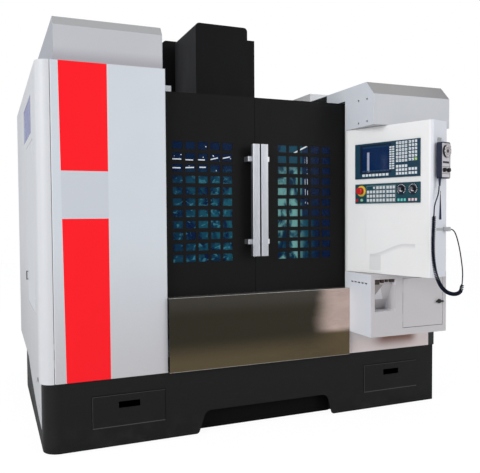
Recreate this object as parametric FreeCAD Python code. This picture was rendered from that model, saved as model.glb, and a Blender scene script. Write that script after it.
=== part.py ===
"""A vertical machining centre of the 850 class, with its enclosure and swivelling operator console.

All sizes are millimetres. The machine is laid out from three planes: x = 0 is its middle, y = 0 is
the front plane of its two towers and z = 0 is the floor, with +x to the right, +y to the back and
+z up. Finished pieces are moved so that the origin is the middle of the footprint on the floor.
The console's pieces are laid out on the console's own face and then turned into place.
"""

import FreeCAD
import Part

import math
import os

from FreeCAD import Placement, Rotation, Vector

# ---------------------------------------------------------------- enclosure, overall
WIDTH = 2696.0
DEPTH = 2150.0                 # tower fronts to the back wall
TOWER_WIDTH = 726.0
TOWER_TOP = 2200.0
BASE_TOP = 406.0
SHEET = 3.0
SEAM = 4.0                     # gap between neighbouring panels
RUNNING_GAP = 0.3              # between pieces that slide on each other
CORNER_RADII = (70.0, 12.0)    # bend radius of the left and the right corner
CORNER_STRIPS = (76.0, 53.0)   # width of the corner strip beside the left and the right front panel
SIDE_EDGE_Z = 345.0            # lower edge of the side walls, behind their stepped front end
SIDE_STEP_Y = (230.0, 330.0)   # where that edge comes down from the base's top
BACK_FLANGE = 60.0
SIDE_X = WIDTH / 2
TOWER_INNER_X = SIDE_X - TOWER_WIDTH
PANEL_OUTER_XS = tuple(SIDE_X - strip for strip in CORNER_STRIPS)

# side openings
WINDOW_Y = (420.0, 1150.0)
WINDOW_Z = (1850.0, 2080.0)
PANE = 5.0
PANE_LAP = 20.0
SERVICE_DOOR_Y = (300.0, 960.0)
SERVICE_DOOR_Z = (760.0, 1800.0)
DOOR_GAP = 3.0
SERVICE_GRIP_Z = 943.0
SERVICE_GRIP_INSET = 86.0
BARREL_LENGTH = 50.0           # hinge barrels of the three swinging doors
BARREL_INSET = 40.0
SERVICE_BARREL_RADIUS = 2.5
CUPBOARD_BARREL_RADIUS = 1.5
CABINET_BARREL_RADIUS = 7.0

# base
BASE_X = (-SIDE_X + 13.0, SIDE_X - SHEET - 0.5)
BASE_FRONT_Y = 9.0
BASE_BACK_Y = 1570.0
BASE_BOTTOM_Z = 8.0
BASE_CORNER_RADII = (90.0, 12.0)
BASE_LEDGE = 90.0              # width of the ledge that the panels stand on
NOTCH_FOOT_X = (-430.0, 505.0)
NOTCH_HEAD_X = (-383.0, 470.0)
NOTCH_HEAD_Z = 145.0
NOTCH_HEAD_RADIUS = 50.0
NOTCH_FOOT_RADIUS = 22.0
BEAM_YS = (360.0, 900.0, 1450.0)
BEAM_WIDTH = 70.0
BEAM_HEIGHT = 60.0

# chip drawers
DRAWER_XS = ((-SIDE_X + 276.0, -SIDE_X + 709.0), (SIDE_X - 593.0, SIDE_X - 151.0))
DRAWER_Z = (122.0, 311.0)
DRAWER_DEPTH = 420.0
DRAWER_TRAVEL = 350.0
DRAWER_PROUD = 4.0
DRAWER_GRIP = (126.0, 38.0)    # width and height of the grip slot
DRAWER_GRIP_RISE = 126.0       # its middle above the drawer's foot
RUNNER_WIDTH = 40.0

# coolant tank
TANK_X = (-430.0, 520.0)
TANK_Y = (85.0, 300.0)
TANK_Z = (10.0, 230.0)

# ---------------------------------------------------------------- front of the machine
APRON_FRONT_Y = -27.0
APRON_TOP_Z = 853.0
APRON_SIDE_GAP = 2.0
DOOR_FRONT_Y = 44.0
DOOR_THICKNESS = 40.0
DOOR_Z = (841.0, 2080.0)
DOOR_SEAM_X = -33.0
DOOR_SEAM_GAP = 2.0
DOOR_LAP = 79.0                # how far each door reaches behind its tower
DOOR_OUTER_X = TOWER_INNER_X + DOOR_LAP
DOOR_TRAVEL = 510.0
HOLE_COLUMNS = 5
HOLE_ROWS = 11
HOLE_WIDTH = 63.0
HOLE_HEIGHT = 45.0
HOLE_PITCH_X = 80.3
HOLE_PITCH_Z = 68.5
HOLE_TOP_Z = 1765.6
HOLE_INSETS = (185.3, 193.0)   # first column from the seam, left and right
GLASS_MARGIN = 30.0
RAIL_HALF_LENGTH = SIDE_X - 86.0
RAIL_HEIGHT = 34.0
TOP_RAIL_DROP = 20.0
HANDLE_OFFSET = 28.5           # each bar's middle from the seam
HANDLE_WIDTH = 45.0
HANDLE_DEPTH = 28.0
HANDLE_FRONT_Y = -44.0
HANDLE_Z = (1086.0, 1780.0)
HANDLE_GROOVES = 5
HANDLE_GROOVE = (4.0, 3.0)     # width and depth
STANDOFF_HEIGHT = 30.0
STANDOFF_INSET_Z = 90.0
STANDOFF_WIDTH = 54.0
STANDOFF_SHIFT = 17.0

# inner splash walls
SPLASH_HALF_WIDTH = SIDE_X - 198.0
SPLASH_FRONT_Y = 110.0
SPLASH_BACK_Y = 1400.0
SPLASH_GAP_X = 330.0           # half-width left open at the back for the head
SPLASH_TOP_Z = 2090.0
TRAY_OUTER_Z = 620.0
TRAY_INNER_Z = 470.0

# ---------------------------------------------------------------- top housings
CAP_X = (-SIDE_X + 96.0, -TOWER_INNER_X - 16.0)
CAP_BACK_Y = 1250.0
CAP_SHOULDER_Z = TOWER_TOP + 193.0
CAP_TOP_Z = TOWER_TOP + 245.0
CAP_SLOPE_Y = 36.0
HOUSING_X = (TOWER_INNER_X, TOWER_INNER_X + 586.0)
HOUSING_FRONT_Y = -299.0
HOUSING_SHOULDER_Z = 2089.0
HOUSING_TOP_Z = 2175.0
HOUSING_SLOPE = 82.0
HOUSING_BACK_Y = 269.0
HOUSING_STEP_Z = 2095.0        # underside where the door passes below
HOUSING_BOTTOM_Z = 1900.0
ROOF_BOX_X = (TOWER_INNER_X + 18.0, SIDE_X - 98.0)
ROOF_BOX_Y = (545.0, 1250.0)
ROOF_BOX_TOP_Z = 2240.0

# right tower front
PANEL_BACK_Y = 28.0            # set-back middle of the right tower
LEDGE_Z = 562.0                # ledge that the lower console stands on
LOWER_X = (TOWER_INNER_X, TOWER_INNER_X + 591.0)
LOWER_FRONT_Y = -273.0
LOWER_TOP_Z = 960.0
NICHE_X = (LOWER_X[0] + 28.0, LOWER_X[0] + 184.0)
NICHE_Z = (722.0, 928.0)
NICHE_DEPTH = 120.0
NICHE_LIP = 22.0
CUPBOARD_X = (LOWER_X[0] + 242.0, LOWER_X[1] - 26.0)
CUPBOARD_Z = (606.0, 930.0)
CUPBOARD_LIP = 14.0            # rim behind the door's edge
LATCH_X = CUPBOARD_X[1] - 34.0
LATCH_Z = 764.0
LATCH_RADIUS = 14.0
LATCH_WING = (52.0, 12.0)      # length and height
VENT_COUNT = 5
VENT_PITCH = 40.0
VENT_SIZE = (24.0, 8.0)

# ---------------------------------------------------------------- castings and axes
BED_HALF_WIDTH = 420.0
BED_Y = (300.0, 1980.0)
BED_BOTTOM_Z = 60.0
BED_TOP_Z = 560.0
BED_SLOPE = (60.0, 140.0)      # inward and downward run of the bed's chip slopes
BED_WALL = 30.0
BED_BAYS = 2                   # cored pockets on each side
BED_TROUGH_HALF_WIDTH = 120.0
BED_TROUGH_DEPTH = 70.0
Y_WAY_X = 300.0
Y_WAY_WIDTH = 90.0
Y_WAY_Y = (330.0, SPLASH_BACK_Y - 10.0)
Y_WAY_TOP_Z = 600.0
FOOT_X = 380.0
FOOT_YS = (380.0, 900.0, 1420.0, 1900.0)
FOOT_RADIUS = 60.0
FOOT_PAD = 25.0
FOOT_STUD_RADIUS = 15.0
FOOT_NUT_ACROSS = 46.0
FOOT_NUT_HEIGHT = 20.0

SPINDLE_Y = 870.0
SADDLE_HALF_WIDTH = 490.0
SADDLE_HALF_LENGTH = 270.0
SADDLE_Z = (575.0, 730.0)
SADDLE_CHANNEL = (90.0, 75.0)  # half-width and height round the screw
X_WAY_OFFSET = 170.0
X_WAY_WIDTH = 80.0
X_WAY_TOP_Z = 770.0
TABLE_HALF_LENGTH = 500.0
TABLE_HALF_WIDTH = 250.0
TABLE_Z = (745.0, 880.0)
SLOT_COUNT = 5
SLOT_PITCH = 90.0
SLOT_WIDTH = 18.0
SLOT_DEPTH = 22.0
SLOT_HEAD = (30.0, 14.0)       # width and height of the slot's wide foot
TABLE_CHANNEL = (66.0, 62.0)
SCREW_RADIUS = 20.0
SCREW_BORE_GAP = 0.4
Y_SCREW_Z = 585.0
X_SCREW_Z = 745.0
NUT_HALF_WIDTH = 55.0
NUT_LENGTH = 90.0
X_TRAVEL = 400.0
Y_TRAVEL = 250.0
Z_TRAVEL = 500.0
MOTOR_SIDE = 120.0
MOTOR_LENGTH = 190.0
BEARING_LENGTH = 36.0

COLUMN_FRONT_Y = 1440.0
COLUMN_TOP_Z = 2560.0
COLUMN_HALF_WIDTH = 243.0
COLUMN_FOOT_HALF_WIDTH = 300.0
COLUMN_FLARE_Z = (640.0, 1500.0)
COLUMN_BACK_Y = (1720.0, 1930.0)   # at the top and at the foot
COLUMN_BACK_Z = 1100.0
COLUMN_HEAD_WALL = 180.0
COLUMN_WINDOWS_Z = ((BED_TOP_Z + 180.0, COLUMN_BACK_Z - 10.0), (COLUMN_BACK_Z + 340.0, COLUMN_TOP_Z - 330.0))
COLUMN_WALL = 28.0
Z_WAY_X = 180.0
Z_WAY_WIDTH = 80.0
Z_WAY_DEPTH = 40.0
Z_WAY_Z = (960.0, 2520.0)
Z_SCREW_Y = 1408.0
COVER_ROOM = 25.0              # beside the column, on either side
COVER_HALF_WIDTH = COLUMN_HALF_WIDTH + COVER_ROOM
COVER_Y = (1340.0, 1790.0)
COVER_Z = (2200.0, 2750.0)
COVER_CORNER_RADIUS = 30.0

HEAD_HALF_WIDTH = 170.0
HEAD_FRONT_Y = 750.0
HEAD_WALL = 24.0
HEAD_TAPER_Y = (1000.0, 1320.0)    # where the head widens to the column's width
HEAD_PLAN = ((HEAD_HALF_WIDTH, HEAD_FRONT_Y), (HEAD_HALF_WIDTH, HEAD_TAPER_Y[0]),
             (COLUMN_HALF_WIDTH, HEAD_TAPER_Y[1]), (COLUMN_HALF_WIDTH, COLUMN_FRONT_Y))
HEAD_Z = (1560.0, 2160.0)      # where it rides on the column
NOSE_Z = 1500.0
SPINDLE_BORE_TOP_Z = 1940.0
QUILL_RADIUS = 105.0
SPINDLE_RADIUS = 45.0
SPINDLE_FIT = 0.05
FLANGE_RADIUS = 64.0
FLANGE_HEIGHT = 30.0
TAPER_MOUTH_RADIUS = 22.2
TAPER_DEPTH = 65.0
TAPER_END_RADIUS = 12.7
KEY_SIZE = (16.0, 12.0, 9.0)   # drive keys: width, length, height
COVER_SEAT_Z = 1990.0          # lower edge of the motor cover
MOTOR_COVER_HALF_WIDTH = 200.0
MOTOR_COVER_Y = (700.0, 1224.0)
MOTOR_COVER_TOP_Z = 2718.0
MOTOR_COVER_RADIUS = 28.0
SIDE_BOX_X = 272.0
SIDE_BOX_Y = (735.0, 1100.0)
SIDE_BOX_Z = (2040.0, 2640.0)
SPINDLE_MOTOR_RADIUS = 125.0
SPINDLE_MOTOR_TOP_Z = 2520.0

# tool magazine
POCKETS = 16
MAGAZINE_RADIUS = 300.0
MAGAZINE_X = -640.0
MAGAZINE_PLATE_RADIUS = 150.0
ARM_LENGTH = 335.0
ARM_WIDTH = 46.0
POCKET_RADIUS = 17.0
ARM_TOP_Z = 1490.0
ARM_THICKNESS = 12.0
HUB_RADIUS = 60.0
CARRIAGE_Z = (1590.0, 1640.0)
CARRIAGE_HALF_LENGTH = 80.0
MAGAZINE_RAIL_OFFSET = 45.0
MAGAZINE_RAIL = 22.0
MAGAZINE_RAIL_X = (-905.0, -235.0)
ARM_BEAM_Z = (1650.0, 1700.0)
ARM_BEAM_X = (-760.0, -600.0)
ARM_BEAM_Y = (770.0, 1600.0)
ARM_ELBOW_Y = 1460.0            # front of the arm's foot, beside the column
ARM_WALL = 12.0
RAIL_PLATE_WIDTH = 140.0
RAIL_PLATE_THICKNESS = 10.0
CARRIAGE_WIDTH = 150.0

# electrical cabinet
CABINET_HALF_WIDTH = 480.0
CABINET_Y = (COLUMN_BACK_Y[1], DEPTH + 65.0)
CABINET_Z = (BED_TOP_Z, 2100.0)
CABINET_DOOR_THICKNESS = 25.0
MAIN_SWITCH_Z = 1500.0
MAIN_SWITCH_RADIUS = 32.0
SWITCH_PROUD = 25.0

# ---------------------------------------------------------------- operator console
CONSOLE_CORNER = (TOWER_INNER_X, 0.0)    # where the console's face starts
CONSOLE_TURN = -71.6           # degrees that its face is turned from the machine's front
CONSOLE_WIDTH = 632.0
CONSOLE_THICKNESS = 189.0
CONSOLE_Z = (962.5, 1898.0)
CONSOLE_BACK_Y = 20.0          # the corner behind this plane is cut off
CONSOLE_EDGE_RADIUS = 22.0
CONSOLE_WALL = 3.0
PIVOT_X = TOWER_INNER_X + 181.0
PIVOT_Y = -130.0
PIVOT_RADIUS = 25.0
PIVOT_FIT = 0.06
PIVOT_LENGTH = 18.0
PIVOT_COLLAR = (45.0, 2.2)     # radius and height of the thrust collar below the box

UNIT_X = (70.0, 555.0)
UNIT_Z = (1570.0, 1795.0)
UNIT_PROUD = 9.0
UNIT_DEPTH = 60.0
UNIT_RIM = 5.0                 # how far the front plate laps over the cut-out
SCREEN_X = (124.0, 339.0)
SCREEN_Z = (1611.0, 1774.0)
SCREEN_RECESS = 5.0
KEY_PROUD = 2.5
# key fields: first key's x and z, columns, rows, pitch across and down, key width and height
UNIT_KEY_FIELDS = ((141.0, 1591.0, 8, 1, 26.0, 0.0, 19.0, 15.0),
                   (348.0, 1758.0, 2, 10, 20.0, 14.6, 15.0, 9.5),
                   (397.0, 1779.0, 4, 6, 21.3, 21.8, 16.0, 16.0),
                   (397.0, 1636.0, 4, 3, 21.3, 22.5, 16.0, 16.0),
                   (487.0, 1780.0, 3, 6, 21.3, 21.4, 16.0, 15.0),
                   (487.0, 1616.0, 3, 2, 21.3, 24.0, 16.0, 16.0))

PANEL_X = (71.0, 557.0)
PANEL_Z = (1411.0, 1536.0)
PANEL_PROUD = 8.0
PANEL_DEPTH = 40.0
PANEL_KEY_FIELDS = ((176.0, 1484.0, 3, 3, 23.3, 26.3, 17.0, 18.0),
                    (222.6, 1510.0, 1, 1, 0.0, 0.0, 14.0, 14.0),
                    (250.0, 1510.0, 3, 4, 23.7, 26.3, 17.0, 18.0),
                    (327.0, 1510.0, 3, 4, 22.6, 26.3, 17.0, 18.0),
                    (407.0, 1430.0, 3, 1, 22.5, 0.0, 14.0, 16.0),
                    (485.0, 1430.0, 3, 1, 22.5, 0.0, 14.0, 16.0))

STOP_HEAD_X = 122.0
STOP_HEAD_Z = 1492.0
STOP_HEAD_RADIUS = 23.0
STOP_HEAD_HEIGHT = 22.0
STOP_STEM_RADIUS = 11.0
STOP_TRAVEL = 6.0
COLLAR_RADIUS = 34.0
COLLAR_HEIGHT = 3.0
BUTTON_XS = (89.0, 126.0)
BUTTON_Z = 1433.0
BUTTON_RADIUS = 9.0
BUTTON_PROUD = 6.0
BUTTON_TRAVEL = 3.0
KNOB_XS = (425.0, 507.0)
KNOB_Z = 1495.0
KNOB_RADIUS = 20.0
KNOB_HEIGHT = 20.0
KNOB_STEM_RADIUS = 5.0
STEM_FIT = 0.08
STEM_LENGTH = 30.0

# pendant on the console's end face: (out of the face, along the face from the front edge, z)
PENDANT_ALONG = (27.0, 121.0)
PENDANT_Z = (1551.0, 1765.0)
PENDANT_OUT = (12.0, 46.0)
PENDANT_RADIUS = 12.0
WHEEL_RADIUS = 37.0
WHEEL_HEIGHT = 12.0
WHEEL_Z = 1711.0
CRANK_RADIUS = 7.0
CRANK_HEIGHT = 16.0
CRANK_OFFSET = 23.0
SELECTOR_ALONG = (51.0, 97.0)
SELECTOR_Z = 1600.0
SELECTOR_RADIUS = 13.0
SELECTOR_HEIGHT = 14.0
HOOK_WIDTH = 40.0
HOOK_LAP = 30.0
HOOK_SHEET = 4.0
SLIT_ALONG = 91.0
SLIT_Z = (1311.0, 1479.0)
SLIT_WIDTH = 8.0

# the pendant's cord, in the same coordinates
GLAND_AT = (26.0, 40.0, 1551.0)
GLAND_RADIUS = 8.0
GLAND_LENGTH = 44.0
CORD_RADIUS = 3.6
LEAD_ROUTE = ((26.0, 34.0, 1506.8), (26.0, 34.0, 1464.0), (22.6, -10.3, 1396.0), (23.0, -14.0, 1340.2))
CURL_ROUTE = ((23.0, -14.0, 1340.0), (23.6, -20.0, 1250.0), (26.0, -29.0, 1160.0), (33.0, -34.0, 1070.0),
              (44.0, -26.0, 985.0), (53.0, 14.0, 915.0), (58.0, 72.0, 876.0), (60.0, 145.0, 858.0),
              (60.0, 207.0, 860.0), (59.5, 238.0, 879.0), (59.0, 244.0, 919.0))
TAIL_ROUTE = ((58.99, 244.03, 919.2), (58.4, 251.1, 966.3), (55.0, 253.0, 1006.0), (50.0, 250.0, 1053.0),
              (45.0, 245.0, 1102.0), (39.0, 238.0, 1148.0), (33.0, 229.0, 1190.0), (27.0, 216.0, 1226.0),
              (22.0, 190.0, 1250.0), (22.0, 150.2, 1250.0))
CURL_RADIUS = 8.6              # centre of the wire from the middle of the coil
CURL_WIRE_RADIUS = 3.2
CURL_COUNT = 32
CURL_SIDES = 4
CURL_GROWTH = 4                # quarter turns in which an end curl reaches its full radius
CLIP_ALONG = (50.0, 150.0)
CLIP_Z = 1250.0
CLIP_HEIGHT = 16.0
CLIP_BLOCK = 26.0
CLIP_STRAP = 3.0                # its thickness

DOOR_BACK_Y = DOOR_FRONT_Y + DOOR_THICKNESS
SWITCH_BACK_Y = CABINET_Y[1] + CABINET_DOOR_THICKNESS + SWITCH_PROUD
CONSOLE_FRONT_Y = CONSOLE_WIDTH * math.sin(math.radians(CONSOLE_TURN))
FOOTPRINT_MIDDLE_Y = float(round((SWITCH_BACK_Y + CONSOLE_FRONT_Y) / 2))

PLANES = {
    "xy": lambda u, v, w: Vector(u, v, w),
    "xz": lambda u, v, w: Vector(u, w, v),
    "yz": lambda u, v, w: Vector(w, u, v),
}


# ================================================================ general shapes
def box(x_span, y_span, z_span):
    """A block between two x, two y and two z values."""
    size = [span[1] - span[0] for span in (x_span, y_span, z_span)]
    return Part.makeBox(*size, Vector(x_span[0], y_span[0], z_span[0]))


def centred(middle, size):
    """The two ends of a size round its middle."""
    return middle - size / 2, middle + size / 2


def centred_box(x, y, z, width, length, height):
    """A block round the point (x, y, z)."""
    return box(centred(x, width), centred(y, length), centred(z, height))


def outline(corners, plane, level):
    """A closed wire through corners (u, v) or (u, v, radius), rounded where a radius is given."""
    legs = []
    for index, corner in enumerate(corners):
        here = Vector(corner[0], corner[1], 0)
        radius = corner[2] if len(corner) == 3 else 0
        if radius <= 0:
            legs.append((here, here, here))
            continue
        before = Vector(*corners[index - 1][:2], 0)
        after = Vector(*corners[(index + 1) % len(corners)][:2], 0)
        back = (before - here).normalize()
        forth = (after - here).normalize()
        half = back.getAngle(forth) / 2
        reach = radius / math.tan(half)
        centre = here + (back + forth).normalize() * (radius / math.sin(half))
        middle = centre + (here - centre).normalize() * radius
        legs.append((here + back * reach, middle, here + forth * reach))
    to_space = PLANES[plane]
    placed = [[to_space(p.x, p.y, level) for p in leg] for leg in legs]
    edges = []
    for index, (start, middle, end) in enumerate(placed):
        if (end - start).Length > 1e-6:
            edges.append(Part.Arc(start, middle, end).toShape())
        following = placed[(index + 1) % len(placed)][0]
        if (following - end).Length > 1e-6:
            edges.append(Part.LineSegment(end, following).toShape())
    return Part.Wire(edges)


def plate(corners, plane, start, end):
    """The outline's face, drawn on a plane and pushed from start to end across it."""
    face = Part.Face(outline(corners, plane, start))
    return face.extrude(PLANES[plane](0, 0, end - start))


def offset_corner(path, index, distance):
    """One corner of a path moved to the path's right by distance, with its bend radius."""
    here = Vector(*path[index][:2], 0)
    normals = []
    for first, second in ((index - 1, index), (index, index + 1)):
        if first < 0 or second >= len(path):
            continue
        along = (Vector(*path[second][:2], 0) - Vector(*path[first][:2], 0)).normalize()
        normals.append(Vector(along.y, -along.x, 0))
    if len(normals) == 1:
        moved = here + normals[0] * distance
        return moved.x, moved.y
    mitre = (normals[0] + normals[1]) * (distance / (1 + normals[0].dot(normals[1])))
    moved = here + mitre
    radius = path[index][2] if len(path[index]) == 3 else 0
    if not radius:
        return moved.x, moved.y
    turns_right = normals[0].cross(normals[1]).z < 0
    return moved.x, moved.y, radius - distance if turns_right else radius + distance


def folded_sheet(path, plane, start, end, thickness=SHEET):
    """A folded sheet whose outer face follows path and whose thickness lies to the path's right."""
    inner = [offset_corner(path, index, thickness) for index in range(len(path))]
    return plate(list(path) + inner[::-1], plane, start, end)


def rod(start, direction, radius, length):
    """A round bar from start along direction."""
    return Part.makeCylinder(radius, length, Vector(*start), Vector(*direction))


def mirrored(shape):
    """The shape on the other side of the machine's middle."""
    return shape.mirror(Vector(0, 0, 0), Vector(1, 0, 0))


def hexagon(across, x, y, plane, start, end):
    """A hexagonal bar of a given width across its flats."""
    reach = across / math.sqrt(3)
    corners = [(x + reach * math.cos(math.radians(60 * i)), y + reach * math.sin(math.radians(60 * i)))
               for i in range(6)]
    return plate(corners, plane, start, end)


# ================================================================ enclosure
def left_front_panel():
    """Flat front sheet of the left tower, its edges folded back."""
    depth = DOOR_FRONT_Y - SEAM
    outer_x = -PANEL_OUTER_XS[0] + SEAM / 2
    path = [(outer_x, depth), (outer_x, 0, SEAM),
            (-TOWER_INNER_X, 0, SEAM), (-TOWER_INNER_X, depth)]
    return folded_sheet(path[::-1], "xy", BASE_TOP, TOWER_TOP)


def side_wall(top, panel_outer_x, corner_radius):
    """A side wall, as on the left: rounded front corner, stepped lower edge and window opening."""
    strip_x = -panel_outer_x - SEAM / 2
    path = [(strip_x, DOOR_FRONT_Y - SEAM), (strip_x, 0, SEAM), (-SIDE_X, 0, corner_radius),
            (-SIDE_X, DEPTH, SEAM), (-SIDE_X + BACK_FLANGE, DEPTH)]
    wall = folded_sheet(path, "xy", SIDE_EDGE_Z, top)
    step = plate([(-SHEET, SIDE_EDGE_Z - SHEET), (SIDE_STEP_Y[1], SIDE_EDGE_Z - SHEET),
                  (SIDE_STEP_Y[1], SIDE_EDGE_Z), (SIDE_STEP_Y[0], BASE_TOP), (-SHEET, BASE_TOP)],
                 "yz", -SIDE_X - SHEET, -TOWER_INNER_X)
    window = box((-SIDE_X - SHEET, -SIDE_X + 2 * SHEET), WINDOW_Y, WINDOW_Z)
    return wall.cut([step, window])


def left_side_cover():
    """Left side wall with the service door's opening and the tower's roof."""
    door_frame = box((-SIDE_X - SHEET, -SIDE_X + 2 * SHEET), SERVICE_DOOR_Y, SERVICE_DOOR_Z)
    lip_x = (-SIDE_X + SHEET + RUNNING_GAP, -SIDE_X + 2 * SHEET + RUNNING_GAP)
    lip_y = (SERVICE_DOOR_Y[1] - PANE_LAP, SERVICE_DOOR_Y[1] + PANE_LAP)
    lip = box((-SIDE_X + SHEET, lip_x[1]), (SERVICE_DOOR_Y[1], lip_y[1]), SERVICE_DOOR_Z)
    lip = lip.fuse(box(lip_x, lip_y, SERVICE_DOOR_Z))
    roof = box((-SIDE_X + SHEET, CAP_X[1]), (DOOR_FRONT_Y, DEPTH - SHEET), (TOWER_TOP - SHEET, TOWER_TOP))
    return side_wall(TOWER_TOP, PANEL_OUTER_XS[0], CORNER_RADII[0]).cut(door_frame).fuse([lip, roof])


def right_side_cover():
    """Right side wall with the tower's roof and the raised box on it."""
    wall = mirrored(side_wall(HOUSING_TOP_Z, PANEL_OUTER_XS[1], CORNER_RADII[1]))
    roof = box((TOWER_INNER_X, SIDE_X - SHEET), (HOUSING_BACK_Y, DEPTH - SHEET),
               (HOUSING_TOP_Z - SHEET, HOUSING_TOP_Z))
    raised = box(ROOF_BOX_X, ROOF_BOX_Y, (HOUSING_TOP_Z - SHEET, ROOF_BOX_TOP_Z))
    inside = box((ROOF_BOX_X[0] + SHEET, ROOF_BOX_X[1] - SHEET),
                 (ROOF_BOX_Y[0] + SHEET, ROOF_BOX_Y[1] - SHEET),
                 (HOUSING_TOP_Z - 2 * SHEET, ROOF_BOX_TOP_Z - SHEET))
    return wall.fuse([roof, raised]).cut(inside)


def right_front_panel():
    """Front sheet of the right tower: a low front field, a ledge and the set-back middle."""
    path = [(BASE_LEDGE / 2, BASE_TOP), (0, BASE_TOP), (0, LEDGE_Z), (PANEL_BACK_Y, LEDGE_Z),
            (PANEL_BACK_Y, HOUSING_STEP_Z - RUNNING_GAP)]
    return folded_sheet(path, "yz", TOWER_INNER_X, PANEL_OUTER_XS[1] - SEAM / 2)


def side_windows():
    """Two panes behind the window openings of the side walls."""
    pane = box((-SIDE_X + SHEET, -SIDE_X + SHEET + PANE), (WINDOW_Y[0] - PANE_LAP, WINDOW_Y[1] + PANE_LAP),
               (WINDOW_Z[0] - PANE_LAP, WINDOW_Z[1] + PANE_LAP))
    return Part.makeCompound([pane, mirrored(pane)])


def left_service_door():
    """Hinged sheet door in the left wall, with a small bar grip and two hinge barrels."""
    y_span = (SERVICE_DOOR_Y[0] + DOOR_GAP, SERVICE_DOOR_Y[1] - DOOR_GAP)
    z_span = (SERVICE_DOOR_Z[0] + DOOR_GAP, SERVICE_DOOR_Z[1] - DOOR_GAP)
    door = box((-SIDE_X, -SIDE_X + SHEET), y_span, z_span)
    grip_y = SERVICE_DOOR_Y[1] - SERVICE_GRIP_INSET
    grip_reach, grip_half, bar = 14.0, 26.0, 4.0
    bars = [rod((-SIDE_X - grip_reach, grip_y, SERVICE_GRIP_Z - grip_half - bar), (0, 0, 1), bar,
                2 * (grip_half + bar))]
    for side in (-1, 1):
        bars.append(rod((-SIDE_X - grip_reach, grip_y, SERVICE_GRIP_Z + side * grip_half), (1, 0, 0),
                        bar * 0.8, grip_reach))
    return door.fuse(bars + hinge_barrels(-SIDE_X, y_span[0], z_span, SERVICE_BARREL_RADIUS))


def hinge_barrels(x, y, z_span, radius):
    """Two short hinge barrels on a door's turning edge, near its foot and its head."""
    return [rod((x, y, z), (0, 0, 1), radius, BARREL_LENGTH)
            for z in (z_span[0] + BARREL_INSET, z_span[1] - BARREL_INSET - BARREL_LENGTH)]


def rear_cover():
    """Back wall between the side walls, cut out round the electrical cabinet."""
    wall = box((-SIDE_X + BACK_FLANGE, SIDE_X - BACK_FLANGE), (DEPTH - SHEET, DEPTH),
               (SIDE_EDGE_Z, HOUSING_TOP_Z))
    opening = box((-CABINET_HALF_WIDTH, CABINET_HALF_WIDTH), (DEPTH - 2 * SHEET, DEPTH + SHEET),
                  (CABINET_Z[0], CABINET_Z[1]))
    slots = []
    for side in (-1, 1):
        for row in range(6):
            slots.append(centred_box(side * 880, DEPTH, 1700 + 40 * row, 260, 4 * SHEET, 12))
    return wall.cut([opening] + slots)


def left_top_housing():
    """Sheet housing on the left tower's roof, its front top edge sloped."""
    def profile(inset):
        return [(inset, TOWER_TOP), (inset, CAP_SHOULDER_Z - inset / 3),
                (CAP_SLOPE_Y + inset, CAP_TOP_Z - inset), (CAP_BACK_Y - inset, CAP_TOP_Z - inset),
                (CAP_BACK_Y - inset, TOWER_TOP)]
    outer = plate(profile(0), "yz", *CAP_X)
    return outer.cut(plate(profile(SHEET), "yz", CAP_X[0] + SHEET, CAP_X[1] - SHEET))


def right_upper_housing():
    """Housing above the console: vertical front, sloped top edge, stepped over the door's path."""
    def profile(inset):
        return [(HOUSING_FRONT_Y + inset, HOUSING_BOTTOM_Z + inset),
                (HOUSING_FRONT_Y + inset, HOUSING_SHOULDER_Z - inset / 2),
                (HOUSING_FRONT_Y + HOUSING_SLOPE + inset / 2, HOUSING_TOP_Z - inset),
                (HOUSING_BACK_Y - inset, HOUSING_TOP_Z - inset),
                (HOUSING_BACK_Y - inset, HOUSING_STEP_Z + inset),
                (PANEL_BACK_Y - inset, HOUSING_STEP_Z + inset),
                (PANEL_BACK_Y - inset, HOUSING_BOTTOM_Z + inset)]
    outer = plate(profile(0), "yz", *HOUSING_X)
    shell = outer.cut(plate(profile(SHEET), "yz", HOUSING_X[0] + SHEET, HOUSING_X[1] - SHEET))
    boss = rod((PIVOT_X, PIVOT_Y, HOUSING_BOTTOM_Z), (0, 0, 1), PIVOT_RADIUS * 1.6, PIVOT_LENGTH + SHEET)
    bore = rod((PIVOT_X, PIVOT_Y, HOUSING_BOTTOM_Z), (0, 0, 1), PIVOT_RADIUS + PIVOT_FIT, PIVOT_LENGTH)
    return shell.fuse(boss).cut(bore)


def drawer_opening(x_span):
    """The cut in the base's front for one chip drawer."""
    return box(x_span, (0, 2 * BASE_FRONT_Y), DRAWER_Z)


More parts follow.
